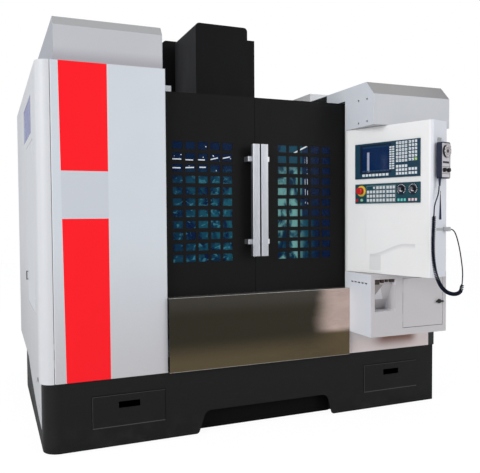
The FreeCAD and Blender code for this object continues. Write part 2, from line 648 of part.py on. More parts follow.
def base_skirt():
    """Folded base with its ledge, front notch, drawer openings, drawer shelves and cross beams."""
    left_x, right_x = BASE_X
    path = [(left_x, BASE_BACK_Y), (left_x, BASE_FRONT_Y, BASE_CORNER_RADII[0]),
            (right_x, BASE_FRONT_Y, BASE_CORNER_RADII[1]), (right_x, BASE_BACK_Y)]
    skirt = folded_sheet(path[::-1], "xy", BASE_BOTTOM_Z, BASE_TOP)
    inner = [(left_x + BASE_LEDGE, BASE_BACK_Y), (left_x + BASE_LEDGE, BASE_FRONT_Y + BASE_LEDGE),
             (right_x - BASE_LEDGE, BASE_FRONT_Y + BASE_LEDGE), (right_x - BASE_LEDGE, BASE_BACK_Y)]
    ledge = plate(path + inner[::-1], "xy", BASE_TOP - SHEET, BASE_TOP)
    reach = 2 * NOTCH_FOOT_RADIUS
    notch = plate([(NOTCH_FOOT_X[0] - reach, 0), (NOTCH_FOOT_X[0] - reach, BASE_BOTTOM_Z),
                   (NOTCH_FOOT_X[0], BASE_BOTTOM_Z, NOTCH_FOOT_RADIUS),
                   (NOTCH_HEAD_X[0], NOTCH_HEAD_Z, NOTCH_HEAD_RADIUS),
                   (NOTCH_HEAD_X[1], NOTCH_HEAD_Z, NOTCH_HEAD_RADIUS),
                   (NOTCH_FOOT_X[1], BASE_BOTTOM_Z, NOTCH_FOOT_RADIUS),
                   (NOTCH_FOOT_X[1] + reach, BASE_BOTTOM_Z), (NOTCH_FOOT_X[1] + reach, 0)],
                  "xz", 0, 2 * BASE_FRONT_Y)
    added = [ledge]
    for y in BEAM_YS:
        for side in (-1, 1):
            ends = sorted((side * BED_HALF_WIDTH, left_x + SHEET if side < 0 else right_x - SHEET))
            added.append(box(ends, (y - BEAM_WIDTH / 2, y + BEAM_WIDTH / 2),
                             (BASE_TOP - BEAM_HEIGHT, BASE_TOP - SHEET)))
    for x_span in DRAWER_XS:
        for x in x_span:
            inward = 1 if x == x_span[0] else -1
            shelf = sorted((x - inward * SHEET, x + inward * RUNNER_WIDTH))
            upright = sorted((x - inward * SHEET, x))
            y_span = (BASE_FRONT_Y, BASE_FRONT_Y + DRAWER_DEPTH)
            added.append(box(shelf, y_span, (DRAWER_Z[0] - SHEET, DRAWER_Z[0])))
            added.append(box(upright, y_span, (DRAWER_Z[0] - SHEET, DRAWER_Z[0] + RUNNER_WIDTH)))
    return skirt.fuse(added).cut([notch] + [drawer_opening(x_span) for x_span in DRAWER_XS])


def chip_drawer(x_span):
    """An open drawer with a slightly proud front, a grip slot and a tray that runs on two shelves."""
    front_x = (x_span[0] + DOOR_GAP, x_span[1] - DOOR_GAP)
    foot_z = DRAWER_Z[0] + RUNNING_GAP
    front = box(front_x, (BASE_FRONT_Y - DRAWER_PROUD, BASE_FRONT_Y + SHEET),
                (foot_z, DRAWER_Z[1] - DOOR_GAP))
    tray_y = (BASE_FRONT_Y + SHEET, BASE_FRONT_Y + DRAWER_DEPTH - DOOR_GAP)
    tray_top = DRAWER_Z[1] - 4 * DOOR_GAP
    tray = box(front_x, tray_y, (foot_z, tray_top))
    inside = box((front_x[0] + SHEET, front_x[1] - SHEET), (tray_y[0], tray_y[1] - SHEET),
                 (foot_z + SHEET, tray_top + SHEET))
    middle = sum(x_span) / 2
    grip = centred_box(middle, BASE_FRONT_Y, DRAWER_Z[0] + DRAWER_GRIP_RISE, DRAWER_GRIP[0], 4 * SHEET,
                       DRAWER_GRIP[1])
    return front.cut(grip).fuse(tray.cut(inside))


def coolant_tank():
    """Open sheet tank behind the notch of the base."""
    inside = box((TANK_X[0] + SHEET, TANK_X[1] - SHEET), (TANK_Y[0] + SHEET, TANK_Y[1] - SHEET),
                 (TANK_Z[0] + SHEET, TANK_Z[1] + SHEET))
    return box(TANK_X, TANK_Y, TANK_Z).cut(inside)


def front_apron():
    """Bright sheet below the doors, standing proud of the base."""
    path = [(DOOR_FRONT_Y - SEAM, APRON_TOP_Z), (APRON_FRONT_Y, APRON_TOP_Z, SHEET + 1),
            (APRON_FRONT_Y, BASE_TOP, SHEET + 1), (BASE_FRONT_Y + BASE_LEDGE / 2, BASE_TOP)]
    half = TOWER_INNER_X - APRON_SIDE_GAP
    return folded_sheet(path[::-1], "yz", -half, half)


def splash_guards():
    """Inner walls and sloped chip trays on both sides of the bed."""
    path = [(-TOWER_INNER_X, SPLASH_FRONT_Y), (-SPLASH_HALF_WIDTH, SPLASH_FRONT_Y, 2 * SEAM),
            (-SPLASH_HALF_WIDTH, SPLASH_BACK_Y, 2 * SEAM), (-SPLASH_GAP_X, SPLASH_BACK_Y)]
    wall = folded_sheet(path, "xy", BASE_TOP, SPLASH_TOP_Z)
    slope = [(-SPLASH_HALF_WIDTH + SHEET, TRAY_OUTER_Z), (-BED_HALF_WIDTH, TRAY_INNER_Z)]
    tray = folded_sheet(slope, "xz", SPLASH_FRONT_Y + SHEET, SPLASH_BACK_Y - SHEET)
    right = mirrored(wall.fuse(tray))
    arm_way = box((ARM_BEAM_X[0] - SEAM, ARM_BEAM_X[1] + SEAM),
                  (SPLASH_BACK_Y - 2 * SHEET, SPLASH_BACK_Y + SHEET),
                  (ARM_BEAM_Z[0] - SEAM, ARM_BEAM_Z[1] + SEAM))
    return Part.makeCompound([wall.cut(arm_way).fuse(tray).cut(bed_block()), right.cut(bed_block())])


def door_rails():
    """Lower rail that the doors slide on, upper rail behind their heads, and the end bracket."""
    span = (-RAIL_HALF_LENGTH, RAIL_HALF_LENGTH)
    low_top = DOOR_Z[0] - RUNNING_GAP
    lower = box(span, (DOOR_FRONT_Y + SHEET, SPLASH_FRONT_Y), (low_top - RAIL_HEIGHT, low_top))
    upper = box(span, (DOOR_BACK_Y + RUNNING_GAP, SPLASH_FRONT_Y),
                (DOOR_Z[1] - TOP_RAIL_DROP - RAIL_HEIGHT, DOOR_Z[1] - TOP_RAIL_DROP))
    stop_width, stop_rise = 55.0, 43.0
    stop = box((-TOWER_INNER_X + SEAM, -TOWER_INNER_X + SEAM + stop_width),
               (DOOR_BACK_Y + RUNNING_GAP, DOOR_BACK_Y + RUNNING_GAP + 2 * SHEET),
               (DOOR_Z[1] - TOP_RAIL_DROP, DOOR_Z[1] + stop_rise))
    return Part.makeCompound([lower, upper.fuse(stop)])


# ================================================================ doors
def door_span(side):
    """The x span of the left (-1) or right (+1) door at rest."""
    return tuple(sorted((DOOR_SEAM_X + side * DOOR_SEAM_GAP / 2, side * DOOR_OUTER_X)))


def hole_xs(side):
    """The middles of a door's columns of holes."""
    inset = HOLE_INSETS[0] if side < 0 else HOLE_INSETS[1]
    return sorted(DOOR_SEAM_X + side * (inset + HOLE_PITCH_X * column) for column in range(HOLE_COLUMNS))


def door(side):
    """A tray-shaped sheet door with its field of square holes."""
    x_span = door_span(side)
    shell = box(x_span, (DOOR_FRONT_Y, DOOR_BACK_Y), DOOR_Z)
    inside = box((x_span[0] + SHEET, x_span[1] - SHEET), (DOOR_FRONT_Y + SHEET, DOOR_BACK_Y + SHEET),
                 (DOOR_Z[0] + SHEET, DOOR_Z[1] - SHEET))
    holes = [centred_box(x, DOOR_FRONT_Y, HOLE_TOP_Z - HOLE_PITCH_Z * row, HOLE_WIDTH, 4 * SHEET, HOLE_HEIGHT)
             for x in hole_xs(side) for row in range(HOLE_ROWS)]
    return shell.cut(inside).cut(Part.makeCompound(holes))


def door_window(side):
    """Tinted pane behind a door's holes."""
    xs = hole_xs(side)
    reach_x = HOLE_WIDTH / 2 + GLASS_MARGIN
    reach_z = HOLE_HEIGHT / 2 + GLASS_MARGIN
    return box((xs[0] - reach_x, xs[-1] + reach_x), (DOOR_FRONT_Y + SHEET, DOOR_FRONT_Y + SHEET + PANE),
               (HOLE_TOP_Z - HOLE_PITCH_Z * (HOLE_ROWS - 1) - reach_z, HOLE_TOP_Z + reach_z))


def door_handle(side):
    """Long grooved pull bar on two stand-offs."""
    middle = DOOR_SEAM_X + side * HANDLE_OFFSET
    groove_width, groove_depth = HANDLE_GROOVE
    back_y = HANDLE_FRONT_Y + HANDLE_DEPTH
    bar = box((middle - HANDLE_WIDTH / 2, middle + HANDLE_WIDTH / 2), (HANDLE_FRONT_Y, back_y), HANDLE_Z)
    pitch = HANDLE_WIDTH / (HANDLE_GROOVES + 1)
    grooves = [centred_box(middle - HANDLE_WIDTH / 2 + pitch * (index + 1), HANDLE_FRONT_Y,
                           sum(HANDLE_Z) / 2, groove_width, 2 * groove_depth, HANDLE_Z[1] - HANDLE_Z[0])
               for index in range(HANDLE_GROOVES)]
    standoffs = [centred_box(middle + side * STANDOFF_SHIFT, (back_y + DOOR_FRONT_Y) / 2, z, STANDOFF_WIDTH,
                             DOOR_FRONT_Y - back_y, STANDOFF_HEIGHT)
                 for z in (HANDLE_Z[0] + STANDOFF_INSET_Z, HANDLE_Z[1] - STANDOFF_INSET_Z)]
    return bar.cut(grooves).fuse(standoffs)


# ================================================================ lower console
def lower_console():
    """Box below the console with a sloped niche, vents and the cupboard's opening."""
    shell = box(LOWER_X, (LOWER_FRONT_Y, PANEL_BACK_Y), (LEDGE_Z, LOWER_TOP_Z)).cut(
        box((LOWER_X[0] + SHEET, LOWER_X[1] - SHEET), (LOWER_FRONT_Y + SHEET, PANEL_BACK_Y - SHEET),
            (LEDGE_Z + SHEET, LOWER_TOP_Z - SHEET)))

    def wedge(inset):
        return [(LOWER_FRONT_Y - (SHEET if not inset else 0), NICHE_Z[0] - inset),
                (LOWER_FRONT_Y + NICHE_DEPTH + inset, NICHE_Z[0] - inset),
                (LOWER_FRONT_Y + NICHE_LIP + inset, NICHE_Z[1] + inset),
                (LOWER_FRONT_Y - (SHEET if not inset else 0), NICHE_Z[1] + inset)]

    liner = plate(wedge(SHEET), "yz", NICHE_X[0] - SHEET, NICHE_X[1] + SHEET)
    niche = plate(wedge(0), "yz", *NICHE_X)
    vents = [centred_box(LOWER_X[0], LOWER_FRONT_Y + 56 + VENT_PITCH * index, LOWER_TOP_Z - 60, 4 * SHEET,
                         VENT_SIZE[0], VENT_SIZE[1]) for index in range(VENT_COUNT)]
    boss = rod((PIVOT_X, PIVOT_Y, LOWER_TOP_Z), (0, 0, -1), PIVOT_RADIUS * 1.6, PIVOT_LENGTH + SHEET)
    bore = rod((PIVOT_X, PIVOT_Y, LOWER_TOP_Z), (0, 0, -1), PIVOT_RADIUS + PIVOT_FIT, PIVOT_LENGTH)
    lip_y = (LOWER_FRONT_Y + SHEET, LOWER_FRONT_Y + 2 * SHEET + RUNNING_GAP)
    rim = box((CUPBOARD_X[0] - CUPBOARD_LIP, CUPBOARD_X[1] + CUPBOARD_LIP), lip_y,
              (CUPBOARD_Z[0] - CUPBOARD_LIP, CUPBOARD_Z[1] + CUPBOARD_LIP))
    mouth = box((CUPBOARD_X[0] + CUPBOARD_LIP, CUPBOARD_X[1] - CUPBOARD_LIP),
                (LOWER_FRONT_Y - SHEET, LOWER_FRONT_Y + 4 * SHEET),
                (CUPBOARD_Z[0] + CUPBOARD_LIP, CUPBOARD_Z[1] - CUPBOARD_LIP))
    seat = box(CUPBOARD_X, (LOWER_FRONT_Y - SHEET, LOWER_FRONT_Y + SHEET + RUNNING_GAP), CUPBOARD_Z)
    return shell.fuse([liner, boss, rim]).cut([niche, mouth, seat, bore] + vents)


def cupboard_door():
    """Flush cupboard door with its hinge barrels and the hole for its latch."""
    x_span = (CUPBOARD_X[0] + DOOR_GAP, CUPBOARD_X[1] - DOOR_GAP)
    z_span = (CUPBOARD_Z[0] + DOOR_GAP, CUPBOARD_Z[1] - DOOR_GAP)
    skin = box(x_span, (LOWER_FRONT_Y, LOWER_FRONT_Y + SHEET), z_span)
    latch_hole = rod((LATCH_X, LOWER_FRONT_Y - SHEET, LATCH_Z), (0, 1, 0), LATCH_RADIUS / 2 + STEM_FIT,
                     4 * SHEET)
    barrels = hinge_barrels(x_span[0] - 1, LOWER_FRONT_Y, z_span, CUPBOARD_BARREL_RADIUS)
    return skin.fuse(barrels).cut(latch_hole)


def cupboard_latch():
    """Quarter-turn latch: a winged head, a stem and a cam behind the door."""
    head = rod((LATCH_X, LOWER_FRONT_Y - 3 * SHEET, LATCH_Z), (0, 1, 0), LATCH_RADIUS,
               3 * SHEET - RUNNING_GAP)
    wing = centred_box(LATCH_X, LOWER_FRONT_Y - 4 * SHEET, LATCH_Z, LATCH_WING[0], 4 * SHEET, LATCH_WING[1])
    stem = rod((LATCH_X, LOWER_FRONT_Y - SHEET, LATCH_Z), (0, 1, 0), LATCH_RADIUS / 2,
               4 * SHEET + 2 * RUNNING_GAP)
    cam_y = LOWER_FRONT_Y + 2 * SHEET + 2 * RUNNING_GAP
    cam_reach = CUPBOARD_X[1] - LATCH_X + SHEET
    cam = box((LATCH_X - LATCH_RADIUS / 2, LATCH_X + LATCH_RADIUS / 2), (cam_y, cam_y + SHEET),
              (LATCH_Z - LATCH_RADIUS / 2, LATCH_Z + cam_reach))
    return head.fuse([wing, stem, cam])


# ================================================================ castings and axes
def bed_block():
    """The bed's outer form: a trough-shaped block whose sides slope off the chips."""
    shoulder = BED_TOP_Z - BED_SLOPE[1]
    half_top = BED_HALF_WIDTH - BED_SLOPE[0]
    return plate([(-BED_HALF_WIDTH, BED_BOTTOM_Z), (BED_HALF_WIDTH, BED_BOTTOM_Z), (BED_HALF_WIDTH, shoulder),
                  (half_top, BED_TOP_Z), (-half_top, BED_TOP_Z), (-BED_HALF_WIDTH, shoulder)], "xz", *BED_Y)


def bearing_block(y_span):
    """A bearing block of the long screw in the bed's trough."""
    return box((-NUT_HALF_WIDTH, NUT_HALF_WIDTH), y_span,
               (BED_TOP_Z - BED_TROUGH_DEPTH, Y_SCREW_Z + NUT_HALF_WIDTH - 10))


def bed():
    """Ribbed bed casting with two box ways and a trough for the screw."""
    pockets = []
    bays = BED_BAYS
    bay_length = (BED_Y[1] - BED_Y[0] - BED_WALL) / bays
    for bay in range(bays):
        y_start = BED_Y[0] + BED_WALL + bay * bay_length
        for side in (-1, 1):
            x_span = sorted((side * BED_WALL / 2, side * (BED_HALF_WIDTH - BED_WALL)))
            pockets.append(box(x_span, (y_start, y_start + bay_length - BED_WALL),
                               (BED_BOTTOM_Z - 1, BED_TOP_Z - BED_SLOPE[1] - BED_WALL)))
    trough = box((-BED_TROUGH_HALF_WIDTH, BED_TROUGH_HALF_WIDTH), (BED_Y[0] - 1, Y_WAY_Y[1]),
                 (BED_TOP_Z - BED_TROUGH_DEPTH, BED_TOP_Z + 1))
    ways = [centred_box(side * Y_WAY_X, sum(Y_WAY_Y) / 2, (BED_TOP_Z - 1 + Y_WAY_TOP_Z) / 2, Y_WAY_WIDTH,
                        Y_WAY_Y[1] - Y_WAY_Y[0], Y_WAY_TOP_Z - BED_TOP_Z + 1) for side in (-1, 1)]
    blocks = [bearing_block((BED_Y[0], BED_Y[0] + BEARING_LENGTH)),
              bearing_block((Y_WAY_Y[1] - BEARING_LENGTH, Y_WAY_Y[1]))]
    screw_bore = rod((0, BED_Y[0] - 1, Y_SCREW_Z), (0, 1, 0), SCREW_RADIUS + STEM_FIT,
                     Y_WAY_Y[1] - BED_Y[0] + 2)
    return bed_block().cut(pockets + [trough]).fuse(ways + blocks).cut(screw_bore)


def levelling_feet():
    """Levelling pads, each with its stud and lock nut."""
    feet = []
    for y in FOOT_YS:
        for x in (-FOOT_X, FOOT_X):
            pad = rod((x, y, 0), (0, 0, 1), FOOT_RADIUS, FOOT_PAD)
            stud = rod((x, y, FOOT_PAD), (0, 0, 1), FOOT_STUD_RADIUS, BED_BOTTOM_Z - FOOT_PAD)
            nut = hexagon(FOOT_NUT_ACROSS, x, y, "xy", BED_BOTTOM_Z - FOOT_NUT_HEIGHT, BED_BOTTOM_Z)
            feet.append(pad.fuse([stud, nut]))
    return Part.makeCompound(feet)


def column():
    """Tapered column casting, flared at its foot, with two box ways and a cored back."""
    side_view = [(COLUMN_FRONT_Y, BED_TOP_Z), (COLUMN_BACK_Y[1], BED_TOP_Z),
                 (COLUMN_BACK_Y[1], COLUMN_BACK_Z),
                 (COLUMN_BACK_Y[0], COLUMN_TOP_Z), (COLUMN_FRONT_Y, COLUMN_TOP_Z)]
    front_view = [(-COLUMN_FOOT_HALF_WIDTH, BED_TOP_Z), (COLUMN_FOOT_HALF_WIDTH, BED_TOP_Z),
                  (COLUMN_FOOT_HALF_WIDTH, COLUMN_FLARE_Z[0]), (COLUMN_HALF_WIDTH, COLUMN_FLARE_Z[1]),
                  (COLUMN_HALF_WIDTH, COLUMN_TOP_Z), (-COLUMN_HALF_WIDTH, COLUMN_TOP_Z),
                  (-COLUMN_HALF_WIDTH, COLUMN_FLARE_Z[1]), (-COLUMN_FOOT_HALF_WIDTH, COLUMN_FLARE_Z[0])]
    body = plate(side_view, "yz", -COLUMN_FOOT_HALF_WIDTH, COLUMN_FOOT_HALF_WIDTH).common(
        plate(front_view, "xz", COLUMN_FRONT_Y, COLUMN_BACK_Y[1]))
    core_half = COLUMN_HALF_WIDTH - COLUMN_WALL
    core = box((-core_half, core_half), (COLUMN_FRONT_Y + COLUMN_WALL, COLUMN_BACK_Y[0] - COLUMN_WALL),
               (BED_TOP_Z + COLUMN_WALL, COLUMN_TOP_Z - COLUMN_HEAD_WALL))
    windows = [box((-core_half / 2, core_half / 2),
                   (COLUMN_BACK_Y[0] - 2 * COLUMN_WALL, COLUMN_BACK_Y[1] + 1),
                   heights) for heights in COLUMN_WINDOWS_Z]
    ways = [centred_box(side * Z_WAY_X, COLUMN_FRONT_Y - Z_WAY_DEPTH / 2 + 0.5, sum(Z_WAY_Z) / 2, Z_WAY_WIDTH,
                        Z_WAY_DEPTH + 1, Z_WAY_Z[1] - Z_WAY_Z[0]) for side in (-1, 1)]
    blocks = [box((-NUT_HALF_WIDTH, NUT_HALF_WIDTH), (Z_SCREW_Y - NUT_HALF_WIDTH + 12, COLUMN_FRONT_Y),
                  heights)
              for heights in ((Z_WAY_Z[0], Z_WAY_Z[0] + BEARING_LENGTH),
                              (COLUMN_TOP_Z - BEARING_LENGTH, COLUMN_TOP_Z))]
    screw_bore = rod((0, Z_SCREW_Y, Z_WAY_Z[0] - 1), (0, 0, 1), SCREW_RADIUS + STEM_FIT,
                     COLUMN_TOP_Z - Z_WAY_Z[0] + 2)
    return body.cut([core] + windows).fuse(ways + blocks).cut(screw_bore)


def column_cover():
    """Sheet cover over the column's head and the motor on it."""
    def profile(inset):
        return [(-COVER_HALF_WIDTH + inset, COVER_Z[0]),
                (-COVER_HALF_WIDTH + inset, COVER_Z[1] - inset, COVER_CORNER_RADIUS - inset),
                (COVER_HALF_WIDTH - inset, COVER_Z[1] - inset, COVER_CORNER_RADIUS - inset),
                (COVER_HALF_WIDTH - inset, COVER_Z[0])]
    shell = plate(profile(0), "xz",
                  *COVER_Y).cut(plate(profile(SHEET), "xz", COVER_Y[0] + SHEET, COVER_Y[1] - SHEET))
    bracket_depth = COVER_HALF_WIDTH - SHEET - COLUMN_HALF_WIDTH
    brackets = []
    for side in (-1, 1):
        x_span = sorted((side * COLUMN_HALF_WIDTH, side * (COLUMN_HALF_WIDTH + bracket_depth)))
        brackets.append(box(x_span, (COLUMN_FRONT_Y + 60, COLUMN_FRONT_Y + 160),
                            (COVER_Z[0] + 20, COVER_Z[0] + 80)))
    return shell.fuse(brackets)


def ball_screws():
    """Screws of the saddle and of the head, between their bearings."""
    along_y = rod((0, BED_Y[0], Y_SCREW_Z), (0, 1, 0), SCREW_RADIUS, Y_WAY_Y[1] - BED_Y[0])
    along_z = rod((0, Z_SCREW_Y, Z_WAY_Z[0]), (0, 0, 1), SCREW_RADIUS, COLUMN_TOP_Z - Z_WAY_Z[0])
    return Part.makeCompound([along_y, along_z])


def servo_motors():
    """Servo motors of the saddle's and the head's screws."""
    half, flange = MOTOR_SIDE / 2, 14.0
    body = box((-half, half), (BED_Y[0] - MOTOR_LENGTH, BED_Y[0] - flange),
               (Y_SCREW_Z - half, Y_SCREW_Z + half))
    rim = centred_box(0, BED_Y[0] - flange / 2, Y_SCREW_Z, MOTOR_SIDE - 14, flange, MOTOR_SIDE - 14)
    upright = box((-half, half), (Z_SCREW_Y - half, Z_SCREW_Y + half),
                  (COLUMN_TOP_Z + flange, COLUMN_TOP_Z + MOTOR_LENGTH - 20))
    foot = centred_box(0, Z_SCREW_Y, COLUMN_TOP_Z + flange / 2, MOTOR_SIDE - 14, MOTOR_SIDE - 14, flange)
    return Part.makeCompound([body.fuse(rim), upright.fuse(foot)])


def saddle():
    """Saddle casting: grooved over the bed's ways, with its own ways and screw nut."""
    y_span = (SPINDLE_Y - SADDLE_HALF_LENGTH, SPINDLE_Y + SADDLE_HALF_LENGTH)
    block = box((-SADDLE_HALF_WIDTH, SADDLE_HALF_WIDTH), y_span, SADDLE_Z)
    chamfer = 60.0
    slopes = [plate([(side * (SADDLE_HALF_WIDTH + 1), SADDLE_Z[0] - 1),
                     (side * (SADDLE_HALF_WIDTH - chamfer), SADDLE_Z[0] - 1),
                     (side * (SADDLE_HALF_WIDTH + 1), SADDLE_Z[0] + chamfer)],
                    "xz", y_span[0] - 1, y_span[1] + 1)
              for side in (-1, 1)]
    grooves = [box((side * Y_WAY_X - Y_WAY_WIDTH / 2 - RUNNING_GAP,
                    side * Y_WAY_X + Y_WAY_WIDTH / 2 + RUNNING_GAP),
                   (y_span[0] - 1, y_span[1] + 1), (SADDLE_Z[0] - 1, Y_WAY_TOP_Z + RUNNING_GAP))
               for side in (-1, 1)]
    channel = box((-SADDLE_CHANNEL[0], SADDLE_CHANNEL[0]), (y_span[0] - 1, y_span[1] + 1),
                  (SADDLE_Z[0] - 1, SADDLE_Z[0] + SADDLE_CHANNEL[1]))
    nut = box((-NUT_HALF_WIDTH, NUT_HALF_WIDTH), (SPINDLE_Y - NUT_LENGTH / 2, SPINDLE_Y + NUT_LENGTH / 2),
              (Y_SCREW_Z - NUT_HALF_WIDTH + 20, SADDLE_Z[0] + SADDLE_CHANNEL[1]))
    nut = nut.cut(rod((0, y_span[0], Y_SCREW_Z), (0, 1, 0), SCREW_RADIUS + SCREW_BORE_GAP,
                      2 * SADDLE_HALF_LENGTH))
    ways = [box((-SADDLE_HALF_WIDTH, SADDLE_HALF_WIDTH),
                (SPINDLE_Y + side * X_WAY_OFFSET - X_WAY_WIDTH / 2,
                 SPINDLE_Y + side * X_WAY_OFFSET + X_WAY_WIDTH / 2),
                (SADDLE_Z[1] - 1, X_WAY_TOP_Z)) for side in (-1, 1)]
    relief = box((-SADDLE_HALF_WIDTH - 1, SADDLE_HALF_WIDTH + 1),
                 (SPINDLE_Y - TABLE_CHANNEL[0], SPINDLE_Y + TABLE_CHANNEL[0]),
                 (X_SCREW_Z - NUT_HALF_WIDTH, SADDLE_Z[1] + 1))
    ends = [box(sorted((side * SADDLE_HALF_WIDTH, side * (SADDLE_HALF_WIDTH - BEARING_LENGTH))),
                (SPINDLE_Y - NUT_HALF_WIDTH, SPINDLE_Y + NUT_HALF_WIDTH),
                (X_SCREW_Z - NUT_HALF_WIDTH, X_SCREW_Z + SCREW_RADIUS + 12)) for side in (-1, 1)]
    bore = rod((-SADDLE_HALF_WIDTH - 1, SPINDLE_Y, X_SCREW_Z), (1, 0, 0), SCREW_RADIUS + STEM_FIT,
               2 * SADDLE_HALF_WIDTH + 2)
    block = block.cut(slopes + grooves + [channel, relief])
    return block.fuse([nut] + ways + ends).cut(bore)


def x_ball_screw():
    """The table's screw with its servo motor on the saddle's right end."""
    screw = rod((-SADDLE_HALF_WIDTH, SPINDLE_Y, X_SCREW_Z), (1, 0, 0), SCREW_RADIUS, 2 * SADDLE_HALF_WIDTH)
    half = (MOTOR_SIDE - 20) / 2
    motor = box((SADDLE_HALF_WIDTH, SADDLE_HALF_WIDTH + MOTOR_LENGTH), (SPINDLE_Y - half, SPINDLE_Y + half),
                (X_SCREW_Z - half, X_SCREW_Z + half))
    return screw.fuse(motor)


def slot_ys():
    """The middles of the table's slots."""
    return [SPINDLE_Y + SLOT_PITCH * (index - (SLOT_COUNT - 1) / 2) for index in range(SLOT_COUNT)]


def table():
    """Work table with T-slots above and guide grooves, channel and screw nut below."""
    x_span = (-TABLE_HALF_LENGTH, TABLE_HALF_LENGTH)
    past = (-TABLE_HALF_LENGTH - 1, TABLE_HALF_LENGTH + 1)
    block = box(x_span, (SPINDLE_Y - TABLE_HALF_WIDTH, SPINDLE_Y + TABLE_HALF_WIDTH), TABLE_Z)
    cuts = []
    for y in slot_ys():
        cuts.append(box(past, (y - SLOT_WIDTH / 2, y + SLOT_WIDTH / 2),
                        (TABLE_Z[1] - SLOT_DEPTH - 1, TABLE_Z[1] + 1)))
        cuts.append(box(past, (y - SLOT_HEAD[0] / 2, y + SLOT_HEAD[0] / 2),
                        (TABLE_Z[1] - SLOT_DEPTH - SLOT_HEAD[1], TABLE_Z[1] - SLOT_DEPTH)))
    for side in (-1, 1):
        y = SPINDLE_Y + side * X_WAY_OFFSET
        reach = X_WAY_WIDTH / 2 + RUNNING_GAP
        cuts.append(box(past, (y - reach, y + reach), (TABLE_Z[0] - 1, X_WAY_TOP_Z + RUNNING_GAP)))
    cuts.append(box(past, (SPINDLE_Y - TABLE_CHANNEL[0], SPINDLE_Y + TABLE_CHANNEL[0]),
                    (TABLE_Z[0] - 1, TABLE_Z[0] + TABLE_CHANNEL[1])))
    nut = centred_box(0, SPINDLE_Y, (X_SCREW_Z - 30 + TABLE_Z[0] + TABLE_CHANNEL[1]) / 2, NUT_LENGTH,
                      2 * NUT_HALF_WIDTH, TABLE_Z[0] + TABLE_CHANNEL[1] - X_SCREW_Z + 30)
    nut = nut.cut(rod((-NUT_LENGTH, SPINDLE_Y, X_SCREW_Z), (1, 0, 0), SCREW_RADIUS + SCREW_BORE_GAP,
                      2 * NUT_LENGTH))
    return block.cut(cuts).fuse(nut)


def head_block():
    """The head casting's outer form, widened towards the column."""
    ride_y = COLUMN_FRONT_Y - RUNNING_GAP
    profile = [(HEAD_FRONT_Y, HEAD_Z[0] + 30, 20), (HEAD_FRONT_Y, COVER_SEAT_Z), (1000, 2100),
               (1250, HEAD_Z[1]),
               (ride_y, HEAD_Z[1]), (ride_y, HEAD_Z[0] - 40), (1260, HEAD_Z[0] - 40, 60),
               (1000, HEAD_Z[0] + 30, 60)]
    plan = [(side * x, y) for side, corners in ((-1, HEAD_PLAN), (1, HEAD_PLAN[::-1])) for x, y in corners]
    return plate(profile, "yz", -COLUMN_HALF_WIDTH, COLUMN_HALF_WIDTH).common(
        plate(plan, "xy", HEAD_Z[0] - 2 * HEAD_HALF_WIDTH, HEAD_Z[1] + HEAD_HALF_WIDTH))


def head():
    """Head casting with its guide grooves, spindle housing, screw nut and built-on spindle motor."""
    ride_y = COLUMN_FRONT_Y - RUNNING_GAP
    body = head_block()
    quill = rod((0, SPINDLE_Y, NOSE_Z + FLANGE_HEIGHT + RUNNING_GAP), (0, 0, 1), QUILL_RADIUS, 120)
    motor = rod((0, SPINDLE_Y, COVER_SEAT_Z), (0, 0, 1), SPINDLE_MOTOR_RADIUS,
                SPINDLE_MOTOR_TOP_Z - COVER_SEAT_Z)
    low, high = HEAD_Z[0] - 60, HEAD_Z[1] + 60
    grooves = [box((side * Z_WAY_X - Z_WAY_WIDTH / 2 - RUNNING_GAP,
                    side * Z_WAY_X + Z_WAY_WIDTH / 2 + RUNNING_GAP),
                   (COLUMN_FRONT_Y - Z_WAY_DEPTH - RUNNING_GAP, COLUMN_FRONT_Y + 1), (low, high))
              for side in (-1, 1)]
    channel = box((-NUT_HALF_WIDTH - 8, NUT_HALF_WIDTH + 8),
                  (Z_SCREW_Y - NUT_HALF_WIDTH, COLUMN_FRONT_Y + 1), (low, high))
    nut = box((-NUT_HALF_WIDTH - 9, NUT_HALF_WIDTH + 9), (Z_SCREW_Y - NUT_HALF_WIDTH - 1, COLUMN_FRONT_Y - 4),
              (sum(HEAD_Z) / 2 - NUT_LENGTH / 2, sum(HEAD_Z) / 2 + NUT_LENGTH / 2))
    nut = nut.cut(rod((0, Z_SCREW_Y, low), (0, 0, 1), SCREW_RADIUS + SCREW_BORE_GAP, high - low))
    spindle_bore = rod((0, SPINDLE_Y, NOSE_Z), (0, 0, 1), SPINDLE_RADIUS + SPINDLE_FIT,
                       SPINDLE_BORE_TOP_Z - NOSE_Z)
    core = box((-HEAD_HALF_WIDTH + HEAD_WALL, HEAD_HALF_WIDTH - HEAD_WALL),
               (SPINDLE_Y + SPINDLE_MOTOR_RADIUS + HEAD_WALL, Z_SCREW_Y - NUT_HALF_WIDTH - HEAD_WALL),
               (low, HEAD_Z[1] - 4 * HEAD_WALL))
    return body.fuse([quill, motor]).cut(grooves + [channel, core]).fuse(nut).cut(spindle_bore)


